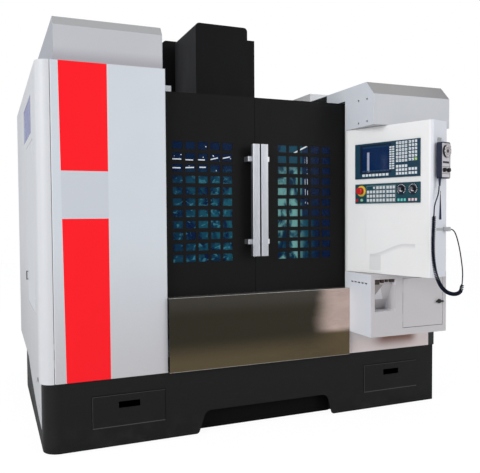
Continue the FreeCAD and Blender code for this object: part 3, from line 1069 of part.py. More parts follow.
def spindle():
    """Spindle: nose flange with drive keys, tapered bore and the shaft in the head."""
    shaft = rod((0, SPINDLE_Y, NOSE_Z), (0, 0, 1), SPINDLE_RADIUS, SPINDLE_BORE_TOP_Z - NOSE_Z - 2)
    flange = rod((0, SPINDLE_Y, NOSE_Z), (0, 0, 1), FLANGE_RADIUS, FLANGE_HEIGHT)
    taper = Part.makeCone(TAPER_MOUTH_RADIUS, TAPER_END_RADIUS, TAPER_DEPTH, Vector(0, SPINDLE_Y, NOSE_Z))
    drawbar = rod((0, SPINDLE_Y, NOSE_Z), (0, 0, 1), TAPER_END_RADIUS - 2, SPINDLE_BORE_TOP_Z - NOSE_Z)
    keys = [centred_box(side * (TAPER_MOUTH_RADIUS + KEY_SIZE[0] / 2 + 2), SPINDLE_Y,
                        NOSE_Z - KEY_SIZE[2] / 2,
                        KEY_SIZE[0], KEY_SIZE[1], KEY_SIZE[2]) for side in (-1, 1)]
    return shaft.fuse([flange] + keys).cut([taper, drawbar])


def motor_cover():
    """Tall sheet cover over the spindle motor with a lower box on its right side."""
    seat_z = COVER_SEAT_Z

    def profile(inset):
        return [(-MOTOR_COVER_HALF_WIDTH + inset, seat_z),
                (-MOTOR_COVER_HALF_WIDTH + inset, MOTOR_COVER_TOP_Z - inset, MOTOR_COVER_RADIUS - inset),
                (MOTOR_COVER_HALF_WIDTH - inset, MOTOR_COVER_TOP_Z - inset, MOTOR_COVER_RADIUS - inset),
                (MOTOR_COVER_HALF_WIDTH - inset, seat_z)]
    outer = plate(profile(0), "xz", *MOTOR_COVER_Y)
    inside = plate(profile(SHEET), "xz", MOTOR_COVER_Y[0] + SHEET, MOTOR_COVER_Y[1] - SHEET)
    side_box = box((MOTOR_COVER_HALF_WIDTH, SIDE_BOX_X), SIDE_BOX_Y, SIDE_BOX_Z).cut(
        box((MOTOR_COVER_HALF_WIDTH - 1, SIDE_BOX_X - SHEET), (SIDE_BOX_Y[0] + SHEET, SIDE_BOX_Y[1] - SHEET),
            (SIDE_BOX_Z[0] - 1, SIDE_BOX_Z[1] - SHEET)))
    fins = []
    for side in (-1, 1):
        x_span = sorted((side * HEAD_HALF_WIDTH, side * (MOTOR_COVER_HALF_WIDTH - SHEET)))
        fins.append(box(x_span, (HEAD_FRONT_Y + 60, HEAD_FRONT_Y + 100), (seat_z, seat_z + 5)))
    return outer.cut(inside).fuse([side_box] + fins).cut(head_block())


# ================================================================ tool magazine
def magazine_frame():
    """Cranked arm from the column with the rail plate and two rails of the magazine."""
    arm = plate([(-COLUMN_HALF_WIDTH, ARM_ELBOW_Y), (-COLUMN_HALF_WIDTH, ARM_BEAM_Y[1]),
                 (ARM_BEAM_X[0], ARM_BEAM_Y[1]), (ARM_BEAM_X[0], ARM_BEAM_Y[0]),
                 (ARM_BEAM_X[1], ARM_BEAM_Y[0]), (ARM_BEAM_X[1], ARM_ELBOW_Y)],
                "xy", *ARM_BEAM_Z)
    wall = ARM_WALL
    core = plate([(-COLUMN_HALF_WIDTH - wall, ARM_ELBOW_Y + wall),
                  (-COLUMN_HALF_WIDTH - wall, ARM_BEAM_Y[1] - wall),
                  (ARM_BEAM_X[0] + wall, ARM_BEAM_Y[1] - wall),
                  (ARM_BEAM_X[0] + wall, ARM_BEAM_Y[0] + wall),
                  (ARM_BEAM_X[1] - wall, ARM_BEAM_Y[0] + wall),
                  (ARM_BEAM_X[1] - wall, ARM_ELBOW_Y + wall)],
                 "xy", ARM_BEAM_Z[0] + wall, ARM_BEAM_Z[1] + 1)
    rail_z = ARM_BEAM_Z[0] - RAIL_PLATE_THICKNESS
    rail_plate = box(MAGAZINE_RAIL_X, centred(SPINDLE_Y, RAIL_PLATE_WIDTH), (rail_z, ARM_BEAM_Z[0]))
    rails = [box(MAGAZINE_RAIL_X, (SPINDLE_Y + side * MAGAZINE_RAIL_OFFSET - MAGAZINE_RAIL / 2,
                                   SPINDLE_Y + side * MAGAZINE_RAIL_OFFSET + MAGAZINE_RAIL / 2),
                 (rail_z - MAGAZINE_RAIL, rail_z)) for side in (-1, 1)]
    return arm.cut(core).fuse([rail_plate] + rails)


def magazine_carriage():
    """Carriage under the rails, with the bearing of the tool disc."""
    block = box((MAGAZINE_X - CARRIAGE_HALF_LENGTH, MAGAZINE_X + CARRIAGE_HALF_LENGTH),
                centred(SPINDLE_Y, CARRIAGE_WIDTH), (CARRIAGE_Z[0], CARRIAGE_Z[1] - RUNNING_GAP))
    reach = MAGAZINE_RAIL / 2 + RUNNING_GAP
    grooves = [box((MAGAZINE_X - CARRIAGE_HALF_LENGTH - 1, MAGAZINE_X + CARRIAGE_HALF_LENGTH + 1),
                   (SPINDLE_Y + side * MAGAZINE_RAIL_OFFSET - reach,
                    SPINDLE_Y + side * MAGAZINE_RAIL_OFFSET + reach),
                   (ARM_BEAM_Z[0] - RAIL_PLATE_THICKNESS - MAGAZINE_RAIL - RUNNING_GAP, CARRIAGE_Z[1]))
               for side in (-1, 1)]
    bore = rod((MAGAZINE_X, SPINDLE_Y, CARRIAGE_Z[0] - 1), (0, 0, 1), HUB_RADIUS / 3 + STEM_FIT, 26)
    return block.cut(grooves + [bore])


def tool_carousel():
    """Disc of forked arms that hold the tools by their collars, with its hub and axle."""
    plate_z = ARM_TOP_Z - ARM_THICKNESS
    disc = rod((MAGAZINE_X, SPINDLE_Y, plate_z), (0, 0, 1), MAGAZINE_PLATE_RADIUS + 20, ARM_THICKNESS)
    hub = rod((MAGAZINE_X, SPINDLE_Y, ARM_TOP_Z), (0, 0, 1), HUB_RADIUS,
              CARRIAGE_Z[0] - ARM_TOP_Z - RUNNING_GAP)
    axle = rod((MAGAZINE_X, SPINDLE_Y, ARM_TOP_Z), (0, 0, 1), HUB_RADIUS / 3, CARRIAGE_Z[0] - ARM_TOP_Z + 22)
    arm = box((MAGAZINE_X + MAGAZINE_PLATE_RADIUS, MAGAZINE_X + ARM_LENGTH),
              (SPINDLE_Y - ARM_WIDTH / 2, SPINDLE_Y + ARM_WIDTH / 2),
              (plate_z, ARM_TOP_Z))
    pocket_x = MAGAZINE_X + MAGAZINE_RADIUS + 12
    pocket = rod((pocket_x, SPINDLE_Y, plate_z - 1), (0, 0, 1), POCKET_RADIUS, ARM_THICKNESS + 2).fuse(
        box((pocket_x, MAGAZINE_X + ARM_LENGTH + 1),
            (SPINDLE_Y - POCKET_RADIUS * 0.8, SPINDLE_Y + POCKET_RADIUS * 0.8),
            (plate_z - 1, ARM_TOP_Z + 1)))
    arm = arm.cut(pocket)
    arms = []
    for index in range(POCKETS):
        turned = arm.copy()
        turned.rotate(Vector(MAGAZINE_X, SPINDLE_Y, 0), Vector(0, 0, 1), index * 360 / POCKETS)
        arms.append(turned)
    return disc.fuse([hub, axle] + arms)


# ================================================================ electrical cabinet
def electrical_cabinet():
    """Cabinet on the column's back, open to the rear, with its mounting plate."""
    x_span = (-CABINET_HALF_WIDTH, CABINET_HALF_WIDTH)
    shell = box(x_span, CABINET_Y, CABINET_Z).cut(
        box((x_span[0] + SHEET, x_span[1] - SHEET), (CABINET_Y[0] + SHEET, CABINET_Y[1] + 1),
            (CABINET_Z[0] + SHEET, CABINET_Z[1] - SHEET)))
    mounting = box((x_span[0] + 40, x_span[1] - 40), (CABINET_Y[0] + SHEET, CABINET_Y[0] + 3 * SHEET),
                   (CABINET_Z[0] + 60, CABINET_Z[1] - 60))
    return shell.fuse(mounting)


def cabinet_door():
    """Cabinet door: a folded tray with cooling slots and the hole for the main switch."""
    x_span = (-CABINET_HALF_WIDTH, CABINET_HALF_WIDTH)
    y_span = (CABINET_Y[1] + RUNNING_GAP, CABINET_Y[1] + CABINET_DOOR_THICKNESS)
    tray = box(x_span, y_span, CABINET_Z).cut(
        box((x_span[0] + SHEET, x_span[1] - SHEET), (y_span[0] - 1, y_span[1] - SHEET),
            (CABINET_Z[0] + SHEET, CABINET_Z[1] - SHEET)))
    slots = [centred_box(0, y_span[1], 1750 + 30 * row, 300, 4 * SHEET, 10) for row in range(6)]
    stem_hole = rod((-CABINET_HALF_WIDTH / 2, y_span[0] - 1, MAIN_SWITCH_Z), (0, 1, 0),
                    KNOB_STEM_RADIUS + STEM_FIT,
                    2 * CABINET_DOOR_THICKNESS)
    barrels = hinge_barrels(CABINET_HALF_WIDTH, y_span[1], CABINET_Z, CABINET_BARREL_RADIUS)
    return tray.fuse(barrels).cut(slots + [stem_hole])


def main_switch():
    """Rotary main switch on the cabinet's door."""
    face_y = CABINET_Y[1] + CABINET_DOOR_THICKNESS + RUNNING_GAP
    x = -CABINET_HALF_WIDTH / 2
    disc = rod((x, face_y, MAIN_SWITCH_Z), (0, 1, 0), MAIN_SWITCH_RADIUS, 6)
    wing = box((x - 7, x + 7), (face_y + 5, face_y + SWITCH_PROUD),
               centred(MAIN_SWITCH_Z, 1.7 * MAIN_SWITCH_RADIUS))
    stem = rod((x, face_y - 20, MAIN_SWITCH_Z), (0, 1, 0), KNOB_STEM_RADIUS, 22)
    return disc.fuse([wing, stem])


# ================================================================ operator console
def on_console(shape):
    """Turns a shape laid out on the console's face (x along it, y into it) into the machine."""
    placed = shape.copy()
    placed.Placement = Placement(Vector(CONSOLE_CORNER[0], CONSOLE_CORNER[1], 0),
                                 Rotation(Vector(0, 0, 1), CONSOLE_TURN)).multiply(placed.Placement)
    return placed


def end_point(out, along, z):
    """A point beside the console's end face, in the console's layout."""
    return Vector(CONSOLE_WIDTH + out, along, z)


def console_box():
    """Console housing with its cut-outs, rear corner cut off, and the two pivot pins."""
    corners = [(CONSOLE_WIDTH, 0, CONSOLE_EDGE_RADIUS),
               (CONSOLE_WIDTH, CONSOLE_THICKNESS, 2 * CONSOLE_EDGE_RADIUS),
               (-CONSOLE_THICKNESS, CONSOLE_THICKNESS), (-CONSOLE_THICKNESS, 0)]
    outer = on_console(plate(corners, "xy", *CONSOLE_Z))
    wall = CONSOLE_WALL
    inner_corners = [(wall - CONSOLE_THICKNESS, wall),
                     (CONSOLE_WIDTH - wall, wall, CONSOLE_EDGE_RADIUS - wall),
                     (CONSOLE_WIDTH - wall, CONSOLE_THICKNESS - wall, 2 * CONSOLE_EDGE_RADIUS - wall),
                     (wall - CONSOLE_THICKNESS, CONSOLE_THICKNESS - wall)]
    inner = on_console(plate(inner_corners, "xy", CONSOLE_Z[0] + wall, CONSOLE_Z[1] - wall))
    reach = 2 * CONSOLE_WIDTH
    heights = (0, 2 * TOWER_TOP)
    allowed = box((CONSOLE_CORNER[0], reach), (-reach, CONSOLE_BACK_Y), heights)
    allowed_inner = box((CONSOLE_CORNER[0] + wall, reach), (-reach, CONSOLE_BACK_Y - wall), heights)
    shell = outer.common(allowed).cut(inner.common(allowed_inner))
    cuts = [box((UNIT_X[0] + UNIT_RIM, UNIT_X[1] - UNIT_RIM), (-1, 2 * wall),
                (UNIT_Z[0] + UNIT_RIM, UNIT_Z[1] - UNIT_RIM)),
            box((PANEL_X[0] + UNIT_RIM, PANEL_X[1] - UNIT_RIM), (-1, 2 * wall),
                (PANEL_Z[0] + UNIT_RIM, PANEL_Z[1] - UNIT_RIM)),
            box((CONSOLE_WIDTH - 2 * wall, CONSOLE_WIDTH + 1),
                (SLIT_ALONG - SLIT_WIDTH / 2, SLIT_ALONG + SLIT_WIDTH / 2), SLIT_Z)]
    shell = shell.cut([on_console(cut) for cut in cuts])
    low_pin = rod((PIVOT_X, PIVOT_Y, CONSOLE_Z[0] + wall), (0, 0, -1), PIVOT_RADIUS,
                  wall + CONSOLE_Z[0] - LOWER_TOP_Z + PIVOT_LENGTH - 2)
    collar = rod((PIVOT_X, PIVOT_Y, CONSOLE_Z[0]), (0, 0, -1), PIVOT_COLLAR[0], PIVOT_COLLAR[1])
    high_pin = rod((PIVOT_X, PIVOT_Y, CONSOLE_Z[1] - wall), (0, 0, 1), PIVOT_RADIUS,
                   wall + HOUSING_BOTTOM_Z - CONSOLE_Z[1] + PIVOT_LENGTH - 2)
    return shell.fuse([low_pin, collar, high_pin])


def key_blocks(fields, face_y):
    """The raised keys of several fields on a face at face_y."""
    keys = []
    for first_x, first_z, columns, rows, pitch_x, pitch_z, width, height in fields:
        for column in range(columns):
            for row in range(rows):
                keys.append(box(centred(first_x + pitch_x * column, width), (face_y - KEY_PROUD, face_y),
                                centred(first_z - pitch_z * row, height)))
    return keys


def display_unit():
    """Display and keyboard unit: front plate with a recessed screen, soft keys and the key grid."""
    front_y = -UNIT_PROUD
    plate_body = box(UNIT_X, (front_y, 0), UNIT_Z)
    rear = box((UNIT_X[0] + 1.5 * UNIT_RIM, UNIT_X[1] - 1.5 * UNIT_RIM), (0, UNIT_DEPTH),
               (UNIT_Z[0] + 1.5 * UNIT_RIM, UNIT_Z[1] - 1.5 * UNIT_RIM))
    screen = box(SCREEN_X, (front_y - 1, front_y + SCREEN_RECESS), SCREEN_Z)
    keys = key_blocks(UNIT_KEY_FIELDS, front_y)
    return on_console(plate_body.fuse(rear).cut(screen).fuse(keys))


def operation_panel():
    """Machine operation panel with its key groups, stop collar, button bezels and knob scales."""
    front_y = -PANEL_PROUD
    plate_body = box(PANEL_X, (front_y, 0), PANEL_Z)
    rear = box((PANEL_X[0] + 1.5 * UNIT_RIM, PANEL_X[1] - 1.5 * UNIT_RIM), (0, PANEL_DEPTH),
               (PANEL_Z[0] + 1.5 * UNIT_RIM, PANEL_Z[1] - 1.5 * UNIT_RIM))
    collar = rod((STOP_HEAD_X, front_y, STOP_HEAD_Z), (0, -1, 0), COLLAR_RADIUS, COLLAR_HEIGHT)
    added = [collar] + key_blocks(PANEL_KEY_FIELDS, front_y)
    holes = [rod((STOP_HEAD_X, front_y - 10, STOP_HEAD_Z), (0, 1, 0), STOP_STEM_RADIUS + RUNNING_GAP,
                 STEM_LENGTH + 14)]
    for x in BUTTON_XS:
        holes.append(rod((x, front_y - 1, BUTTON_Z), (0, 1, 0), BUTTON_RADIUS + RUNNING_GAP, STEM_LENGTH))
    for x in KNOB_XS:
        holes.append(rod((x, front_y - 1, KNOB_Z), (0, 1, 0), KNOB_STEM_RADIUS + STEM_FIT, STEM_LENGTH))
    return on_console(plate_body.fuse([rear] + added).cut(holes))


def emergency_stop():
    """Mushroom stop button with its stem."""
    face_y = -PANEL_PROUD - COLLAR_HEIGHT - STOP_TRAVEL - 1
    head_part = rod((STOP_HEAD_X, face_y, STOP_HEAD_Z), (0, -1, 0), STOP_HEAD_RADIUS, STOP_HEAD_HEIGHT)
    rim = [edge for edge in head_part.Edges if abs(edge.BoundBox.YMax - (face_y - STOP_HEAD_HEIGHT)) < 0.01]
    head_part = head_part.makeFillet(STOP_HEAD_HEIGHT * 0.3, rim)
    stem = rod((STOP_HEAD_X, face_y, STOP_HEAD_Z), (0, 1, 0), STOP_STEM_RADIUS, STEM_LENGTH)
    return on_console(head_part.fuse(stem))


def push_button(x):
    """Short push button standing out of its bezel."""
    front_y = -PANEL_PROUD - BUTTON_PROUD
    return on_console(rod((x, front_y, BUTTON_Z), (0, 1, 0), BUTTON_RADIUS,
                          BUTTON_PROUD + STEM_LENGTH - 2 * BUTTON_PROUD))


def knob(x, y, z, radius, height, axis=(0, -1, 0)):
    """Pointer knob: a skirted round body with a flat pointer fin."""
    skirt = rod((x, y, z), axis, radius, height * 0.35)
    body = rod((x, y, z), axis, radius * 0.78, height)
    return skirt.fuse(body)


def override_knob(x):
    """Override knob on its stem."""
    face_y = -PANEL_PROUD - RUNNING_GAP
    fin = centred_box(x, face_y - KNOB_HEIGHT * 0.6, KNOB_Z + KNOB_RADIUS * 0.4, 4, KNOB_HEIGHT * 1.2,
                      KNOB_RADIUS * 1.1)
    stem = rod((x, face_y, KNOB_Z), (0, 1, 0), KNOB_STEM_RADIUS, STEM_LENGTH - 6)
    return on_console(knob(x, face_y, KNOB_Z, KNOB_RADIUS, KNOB_HEIGHT).fuse([fin, stem]))


# ================================================================ pendant and its cord
def pendant_bracket():
    """Sheet hook on the console's end face that the pendant hangs in."""
    middle = sum(PENDANT_ALONG) / 2
    z = PENDANT_Z[1]
    side = (middle - HOOK_WIDTH / 2, middle + HOOK_WIDTH / 2)
    out = [CONSOLE_WIDTH, CONSOLE_WIDTH + HOOK_SHEET, CONSOLE_WIDTH + PENDANT_OUT[0]]
    foot = box((out[0], out[1]), side, (z - 3 * HOOK_LAP, z + HOOK_LAP))
    arm = box((out[0], out[2]), side, (z - HOOK_LAP, z - HOOK_LAP + HOOK_SHEET))
    lower = box((out[0], out[2]), side, (z - 3 * HOOK_LAP, z - 3 * HOOK_LAP + HOOK_SHEET))
    return on_console(foot.fuse([arm, lower]))


def pendant_body():
    """Hand pendant housing with its strain relief."""
    corners = [(PENDANT_ALONG[0], PENDANT_Z[0], PENDANT_RADIUS),
               (PENDANT_ALONG[1], PENDANT_Z[0], PENDANT_RADIUS),
               (PENDANT_ALONG[1], PENDANT_Z[1], PENDANT_RADIUS),
               (PENDANT_ALONG[0], PENDANT_Z[1], PENDANT_RADIUS)]
    body = plate(corners, "yz", CONSOLE_WIDTH + PENDANT_OUT[0], CONSOLE_WIDTH + PENDANT_OUT[1])
    front = CONSOLE_WIDTH + PENDANT_OUT[1]
    holes = [rod((front, sum(PENDANT_ALONG) / 2, WHEEL_Z), (-1, 0, 0), KNOB_STEM_RADIUS + STEM_FIT, 18)]
    holes += [rod((front, along, SELECTOR_Z), (-1, 0, 0), KNOB_STEM_RADIUS + STEM_FIT,
                  18) for along in SELECTOR_ALONG]
    gland = Part.makeCone(GLAND_RADIUS, CORD_RADIUS + 1.5, GLAND_LENGTH, end_point(*GLAND_AT),
                          Vector(0, 0, -1))
    return on_console(body.cut(holes).fuse(gland))


def pendant_wheel():
    """Hand wheel of the pendant with its finger knob."""
    front = CONSOLE_WIDTH + PENDANT_OUT[1] + RUNNING_GAP
    middle = sum(PENDANT_ALONG) / 2
    wheel = rod((front, middle, WHEEL_Z), (1, 0, 0), WHEEL_RADIUS, WHEEL_HEIGHT)
    grip = rod((front, middle, WHEEL_Z + CRANK_OFFSET), (1, 0, 0), CRANK_RADIUS, WHEEL_HEIGHT + CRANK_HEIGHT)
    stem = rod((front, middle, WHEEL_Z), (-1, 0, 0), KNOB_STEM_RADIUS, 16)
    return on_console(wheel.fuse([grip, stem]))


def selector(along):
    """Selector knob of the pendant."""
    front = CONSOLE_WIDTH + PENDANT_OUT[1] + RUNNING_GAP
    body = knob(front, along, SELECTOR_Z, SELECTOR_RADIUS, SELECTOR_HEIGHT, (1, 0, 0))
    fin = centred_box(front + SELECTOR_HEIGHT * 0.6, along, SELECTOR_Z + SELECTOR_RADIUS * 0.35,
                      SELECTOR_HEIGHT * 1.2, 4, SELECTOR_RADIUS * 1.1)
    stem = rod((front, along, SELECTOR_Z), (-1, 0, 0), KNOB_STEM_RADIUS, 16)
    return on_console(body.fuse([fin, stem]))


def route_legs(points):
    """Straight runs and the largest tangent arcs along a route, with each arc's radius."""
    legs = []
    arcs = []
    start = points[0]
    for index in range(1, len(points) - 1):
        here = points[index]
        back = (points[index - 1] - here)
        forth = (points[index + 1] - here)
        reach = 0.45 * min(back.Length, forth.Length)
        turn = math.pi - back.getAngle(forth)
        radius = reach / math.tan(turn / 2)
        arrive = here + back.normalize() * reach
        leave = here + forth.normalize() * reach
        outward = ((arrive + leave) * 0.5 - here).normalize()
        centre = here + outward * math.hypot(radius, reach)
        middle = centre - outward * radius
        legs.append((start, None, arrive))
        legs.append((arrive, middle, leave))
        arcs.append(radius)
        start = leave
    legs.append((start, None, points[-1]))
    return legs, arcs


def route_wire(points):
    """The route as one wire, and its arcs' radii."""
    legs, arcs = route_legs(points)
    edges = []
    for start, middle, end in legs:
        edge = Part.LineSegment(start, end) if middle is None else Part.Arc(start, middle, end)
        edges.append(edge.toShape())
    return Part.Wire(edges), arcs


def cord_tube(name, route):
    """A round cord along a route of points beside the console's end face."""
    points = [end_point(*point) for point in route]
    wire, arcs = route_wire(points)
    direction = (points[1] - points[0]).normalize()
    profile = Part.Wire(Part.Circle(points[0], direction, CORD_RADIUS).toShape())
    tube = wire.makePipeShell([profile], True, False)
    share = tube.Volume / (math.pi * CORD_RADIUS ** 2 * wire.Length)
    print(f"{name}: length {wire.Length:.0f} mm, least radius {min(arcs):.1f} mm, volume ratio {share:.4f}")
    return on_console(tube)


def cord_lead():
    """Straight cord from the pendant down to the curls."""
    return cord_tube("cord_lead", LEAD_ROUTE)


def cord_tail():
    """Straight cord from the curls back up to the clip."""
    return cord_tube("cord_tail", TAIL_ROUTE)


def points_along(wire, distances):
    """Points and directions on a wire of lines and arcs at the given distances."""
    found = []
    edges = wire.OrderedEdges
    for distance in distances:
        left = distance
        for edge in edges:
            if left <= edge.Length + 1e-6:
                break
            left -= edge.Length
        parameter = edge.getParameterByLength(min(left, edge.Length))
        tangent = edge.tangentAt(parameter)
        found.append((edge.valueAt(parameter), tangent))
    return found


def curl_size(index, last):
    """Share of the full radius at a quarter turn, and its growth in one quarter turn."""
    nearest = min(index, last - index) / CURL_GROWTH
    if nearest >= 1:
        return 1.0, 0.0
    share = nearest * nearest * (3 - 2 * nearest)
    growth = 6 * nearest * (1 - nearest) / CURL_GROWTH
    return share, growth if index < last / 2 else -growth


def curl_stations(route):
    """The curls' wire at every quarter turn: a point, and the direction that it runs in."""
    lead = 2 * CURL_WIRE_RADIUS
    last = 4 * CURL_COUNT
    step = (route.Length - 2 * lead) / last
    stations = []
    for index, (point, tangent) in enumerate(points_along(route, [lead + step * i for i in range(last + 1)])):
        across = Vector(1, 0, 0)
        across = (across - tangent * across.dot(tangent)).normalize()
        up = tangent.cross(across)
        angle = math.pi / 2 * index
        spoke = across * math.cos(angle) + up * math.sin(angle)
        swing = up * math.cos(angle) - across * math.sin(angle)
        share, growth = curl_size(index, last)
        run = swing * (share * CURL_RADIUS * math.pi / 2) + spoke * (growth * CURL_RADIUS) + tangent * step
        stations.append((point + spoke * (share * CURL_RADIUS), run.normalize()))
    return stations


def least_self_gap(wire, diameter):
    """The least gap between stretches of a wire that are over three diameters apart along it."""
    spacing = diameter / 2
    count = int(wire.Length / spacing)
    points = wire.discretize(count)
    skip = 6
    least = wire.Length
    for index, point in enumerate(points):
        for other in points[index + skip:index + 60]:
            least = min(least, point.distanceToPoint(other))
    return least - diameter


def biarc(start, start_way, end, end_way):
    """Two tangent arcs between two points with given directions."""
    chord = end - start
    both = start_way + end_way
    a = 2 * (1 - start_way.dot(end_way))
    b = 2 * chord.dot(both)
    c = -chord.dot(chord)
    reach = (-b + math.sqrt(b * b - 4 * a * c)) / (2 * a) if abs(a) > 1e-9 else -c / b
    knee_1 = start + start_way * reach
    knee_2 = end - end_way * reach
    join = (knee_1 + knee_2) * 0.5
    return [tangent_arc(start, start_way, join), tangent_arc(end, end_way * -1, join, True)]


def tangent_arc(start, way, end, backwards=False):
    """The arc that leaves start along way and ends at end."""
    chord = end - start
    across = chord - way * chord.dot(way)
    if across.Length < 1e-6:
        return Part.LineSegment(*((end, start) if backwards else (start, end))).toShape()
    across.normalize()
    radius = chord.dot(chord) / (2 * chord.dot(across))
    centre = start + across * radius
    middle = centre + ((start + end) * 0.5 - centre).normalize() * radius
    ends = (end, start) if backwards else (start, end)
    return Part.Arc(ends[0], middle, ends[1]).toShape()


def curly_cord():
    """The curled part of the cord: one unbroken faceted wire wound round the hanging route."""
    route, arcs = route_wire([end_point(*point) for point in CURL_ROUTE])
    stations = curl_stations(route)
    edges = [Part.LineSegment(end_point(*CURL_ROUTE[0]), stations[0][0]).toShape()]
    for (start, start_way), (end, end_way) in zip(stations, stations[1:]):
        edges += biarc(start, start_way, end, end_way)
    edges.append(Part.LineSegment(stations[-1][0], end_point(*CURL_ROUTE[-1])).toShape())
    path = Part.Wire(edges)
    start, way = end_point(*CURL_ROUTE[0]), stations[0][1]
    side = way.cross(Vector(1, 0, 0)).normalize()
    up = way.cross(side)
    turns = [2 * math.pi * index / CURL_SIDES for index in range(CURL_SIDES)]
    ring = [start + (side * math.cos(turn) + up * math.sin(turn)) * CURL_WIRE_RADIUS for turn in turns]
    coil = path.makePipeShell([Part.makePolygon(ring + [ring[0]])], True, False)
    print(f"curly_cord: along its middle {route.Length:.0f} mm, wire {path.Length:.0f} mm,"
          f" least radius of the middle {min(arcs):.0f} mm, least gap to itself"
          f" {least_self_gap(path, 2 * CURL_WIRE_RADIUS):.1f} mm")
    return on_console(coil)


def cord_clip():
    """Strap on the end face with the block that holds the cord's end."""
    strap = box((CONSOLE_WIDTH, CONSOLE_WIDTH + CLIP_STRAP), CLIP_ALONG,
                (CLIP_Z - CLIP_HEIGHT / 2, CLIP_Z + CLIP_HEIGHT / 2))
    block = box((CONSOLE_WIDTH, CONSOLE_WIDTH + TAIL_ROUTE[-1][0] + CLIP_BLOCK / 2),
                (CLIP_ALONG[1] - CLIP_BLOCK, CLIP_ALONG[1]),
                (CLIP_Z - CLIP_BLOCK / 2, CLIP_Z + CLIP_BLOCK / 2))
    return on_console(strap.fuse(block))


# ================================================================ all pieces
PIECES = {
    "bed": bed,
    "levelling_feet": levelling_feet,
    "column": column,
    "column_cover": column_cover,
    "ball_screws": ball_screws,
    "servo_motors": servo_motors,
    "saddle": saddle,
    "x_ball_screw": x_ball_screw,
    "table": table,
    "head": head,
    "spindle": spindle,
    "motor_cover": motor_cover,
    "magazine_frame": magazine_frame,
    "magazine_carriage": magazine_carriage,
    "tool_carousel": tool_carousel,
    "base_skirt": base_skirt,
    "coolant_tank": coolant_tank,
    "chip_drawer_left": lambda: chip_drawer(DRAWER_XS[0]),
    "chip_drawer_right": lambda: chip_drawer(DRAWER_XS[1]),
    "left_front_panel": left_front_panel,
    "left_side_cover": left_side_cover,
    "left_service_door": left_service_door,
    "right_side_cover": right_side_cover,
    "right_front_panel": right_front_panel,
    "side_windows": side_windows,
    "rear_cover": rear_cover,
    "left_top_housing": left_top_housing,
    "right_upper_housing": right_upper_housing,
    "splash_guards": splash_guards,
    "front_apron": front_apron,
    "door_rails": door_rails,
    "left_door": lambda: door(-1),
    "left_door_window": lambda: door_window(-1),
    "left_door_handle": lambda: door_handle(-1),
    "right_door": lambda: door(1),
    "right_door_window": lambda: door_window(1),
    "right_door_handle": lambda: door_handle(1),
    "lower_console": lower_console,
    "cupboard_door": cupboard_door,
    "cupboard_latch": cupboard_latch,
    "electrical_cabinet": electrical_cabinet,
    "cabinet_door": cabinet_door,
    "main_switch": main_switch,
    "console_box": console_box,
    "display_unit": display_unit,
    "operation_panel": operation_panel,
    "emergency_stop": emergency_stop,
    "start_button": lambda: push_button(BUTTON_XS[1]),
    "stop_button": lambda: push_button(BUTTON_XS[0]),
    "feed_override_knob": lambda: override_knob(KNOB_XS[0]),
    "spindle_override_knob": lambda: override_knob(KNOB_XS[1]),
    "pendant_bracket": pendant_bracket,
    "pendant_body": pendant_body,
    "pendant_wheel": pendant_wheel,
    "axis_selector": lambda: selector(SELECTOR_ALONG[0]),
    "step_selector": lambda: selector(SELECTOR_ALONG[1]),
    "cord_lead": cord_lead,
    "curly_cord": curly_cord,
    "cord_tail": cord_tail,
    "cord_clip": cord_clip,
}


def main():
    """Builds every piece, moves it to the footprint's middle and writes it."""
    os.makedirs("parts", exist_ok=True)
    for name, make in PIECES.items():
        shape = make()
        if len(shape.Solids) == 1:
            shape = shape.Solids[0]
        shape = shape.copy()
        shape.translate(Vector(0, -FOOTPRINT_MIDDLE_Y, 0))
        shape.exportStep(f"parts/{name}.step")
        print(f"{name}: {len(shape.Solids)} solid, valid {shape.isValid()}, "
              f"volume {shape.Volume / 1e6:.2f} l")


main()
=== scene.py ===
# %% [markdown]
# # A vertical machining centre in a pale studio
# The castings, covers, doors and buttons come from the imported model, each already in its place.
# This file gives every one of them a finish, adds the small things that are not worth a solid of
# their own, such as screws, sockets, dark strips that stand for the shade in gaps and a light bead
# that stands for a highlight, and hangs the pendant's cord.

# %% Load the imported machine
import math

import bmesh
import bpy
from mathutils import Matrix, Vector


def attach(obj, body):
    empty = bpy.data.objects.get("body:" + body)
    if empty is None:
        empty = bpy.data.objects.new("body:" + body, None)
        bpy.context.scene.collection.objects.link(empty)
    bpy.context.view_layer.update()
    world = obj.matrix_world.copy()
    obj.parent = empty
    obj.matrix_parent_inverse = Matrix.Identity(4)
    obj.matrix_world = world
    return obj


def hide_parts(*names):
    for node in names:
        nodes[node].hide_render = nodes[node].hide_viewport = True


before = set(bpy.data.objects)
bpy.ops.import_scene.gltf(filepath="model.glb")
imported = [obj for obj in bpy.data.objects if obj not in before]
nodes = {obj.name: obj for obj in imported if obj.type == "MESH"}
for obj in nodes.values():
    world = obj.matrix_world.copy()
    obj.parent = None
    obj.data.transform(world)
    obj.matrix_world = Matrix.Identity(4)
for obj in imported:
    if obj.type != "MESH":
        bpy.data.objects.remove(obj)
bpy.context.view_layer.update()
print("pieces from the packed model:", len(nodes))

# %% [markdown]
# The drawing of the machine counts y from the front of its towers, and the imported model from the
# middle of its footprint. Pieces could be made at the drawing's place and moved afterwards, but a
# finished piece sits at the origin with its place in its mesh. So one helper turns drawing
# millimetres into the model's metres. The operator console stands turned and has a layout of its
# own, along its face, into it, and up, so it gets a second helper.

# %% Places on the machine and on its console
FOOTPRINT_MIDDLE_Y = 833.0
CONSOLE_CORNER = Vector((622.0, 0.0, 0.0))
CONSOLE_TURN = math.radians(-71.6)
CONSOLE_WIDTH = 632.0
along_face = Vector((math.cos(CONSOLE_TURN), math.sin(CONSOLE_TURN), 0.0))
into_face = Vector((-math.sin(CONSOLE_TURN), math.cos(CONSOLE_TURN), 0.0))


def spot(x, y, z):
    """A point of the machine's drawing, in metres."""
    return Vector((x, y - FOOTPRINT_MIDDLE_Y, z)) / 1000


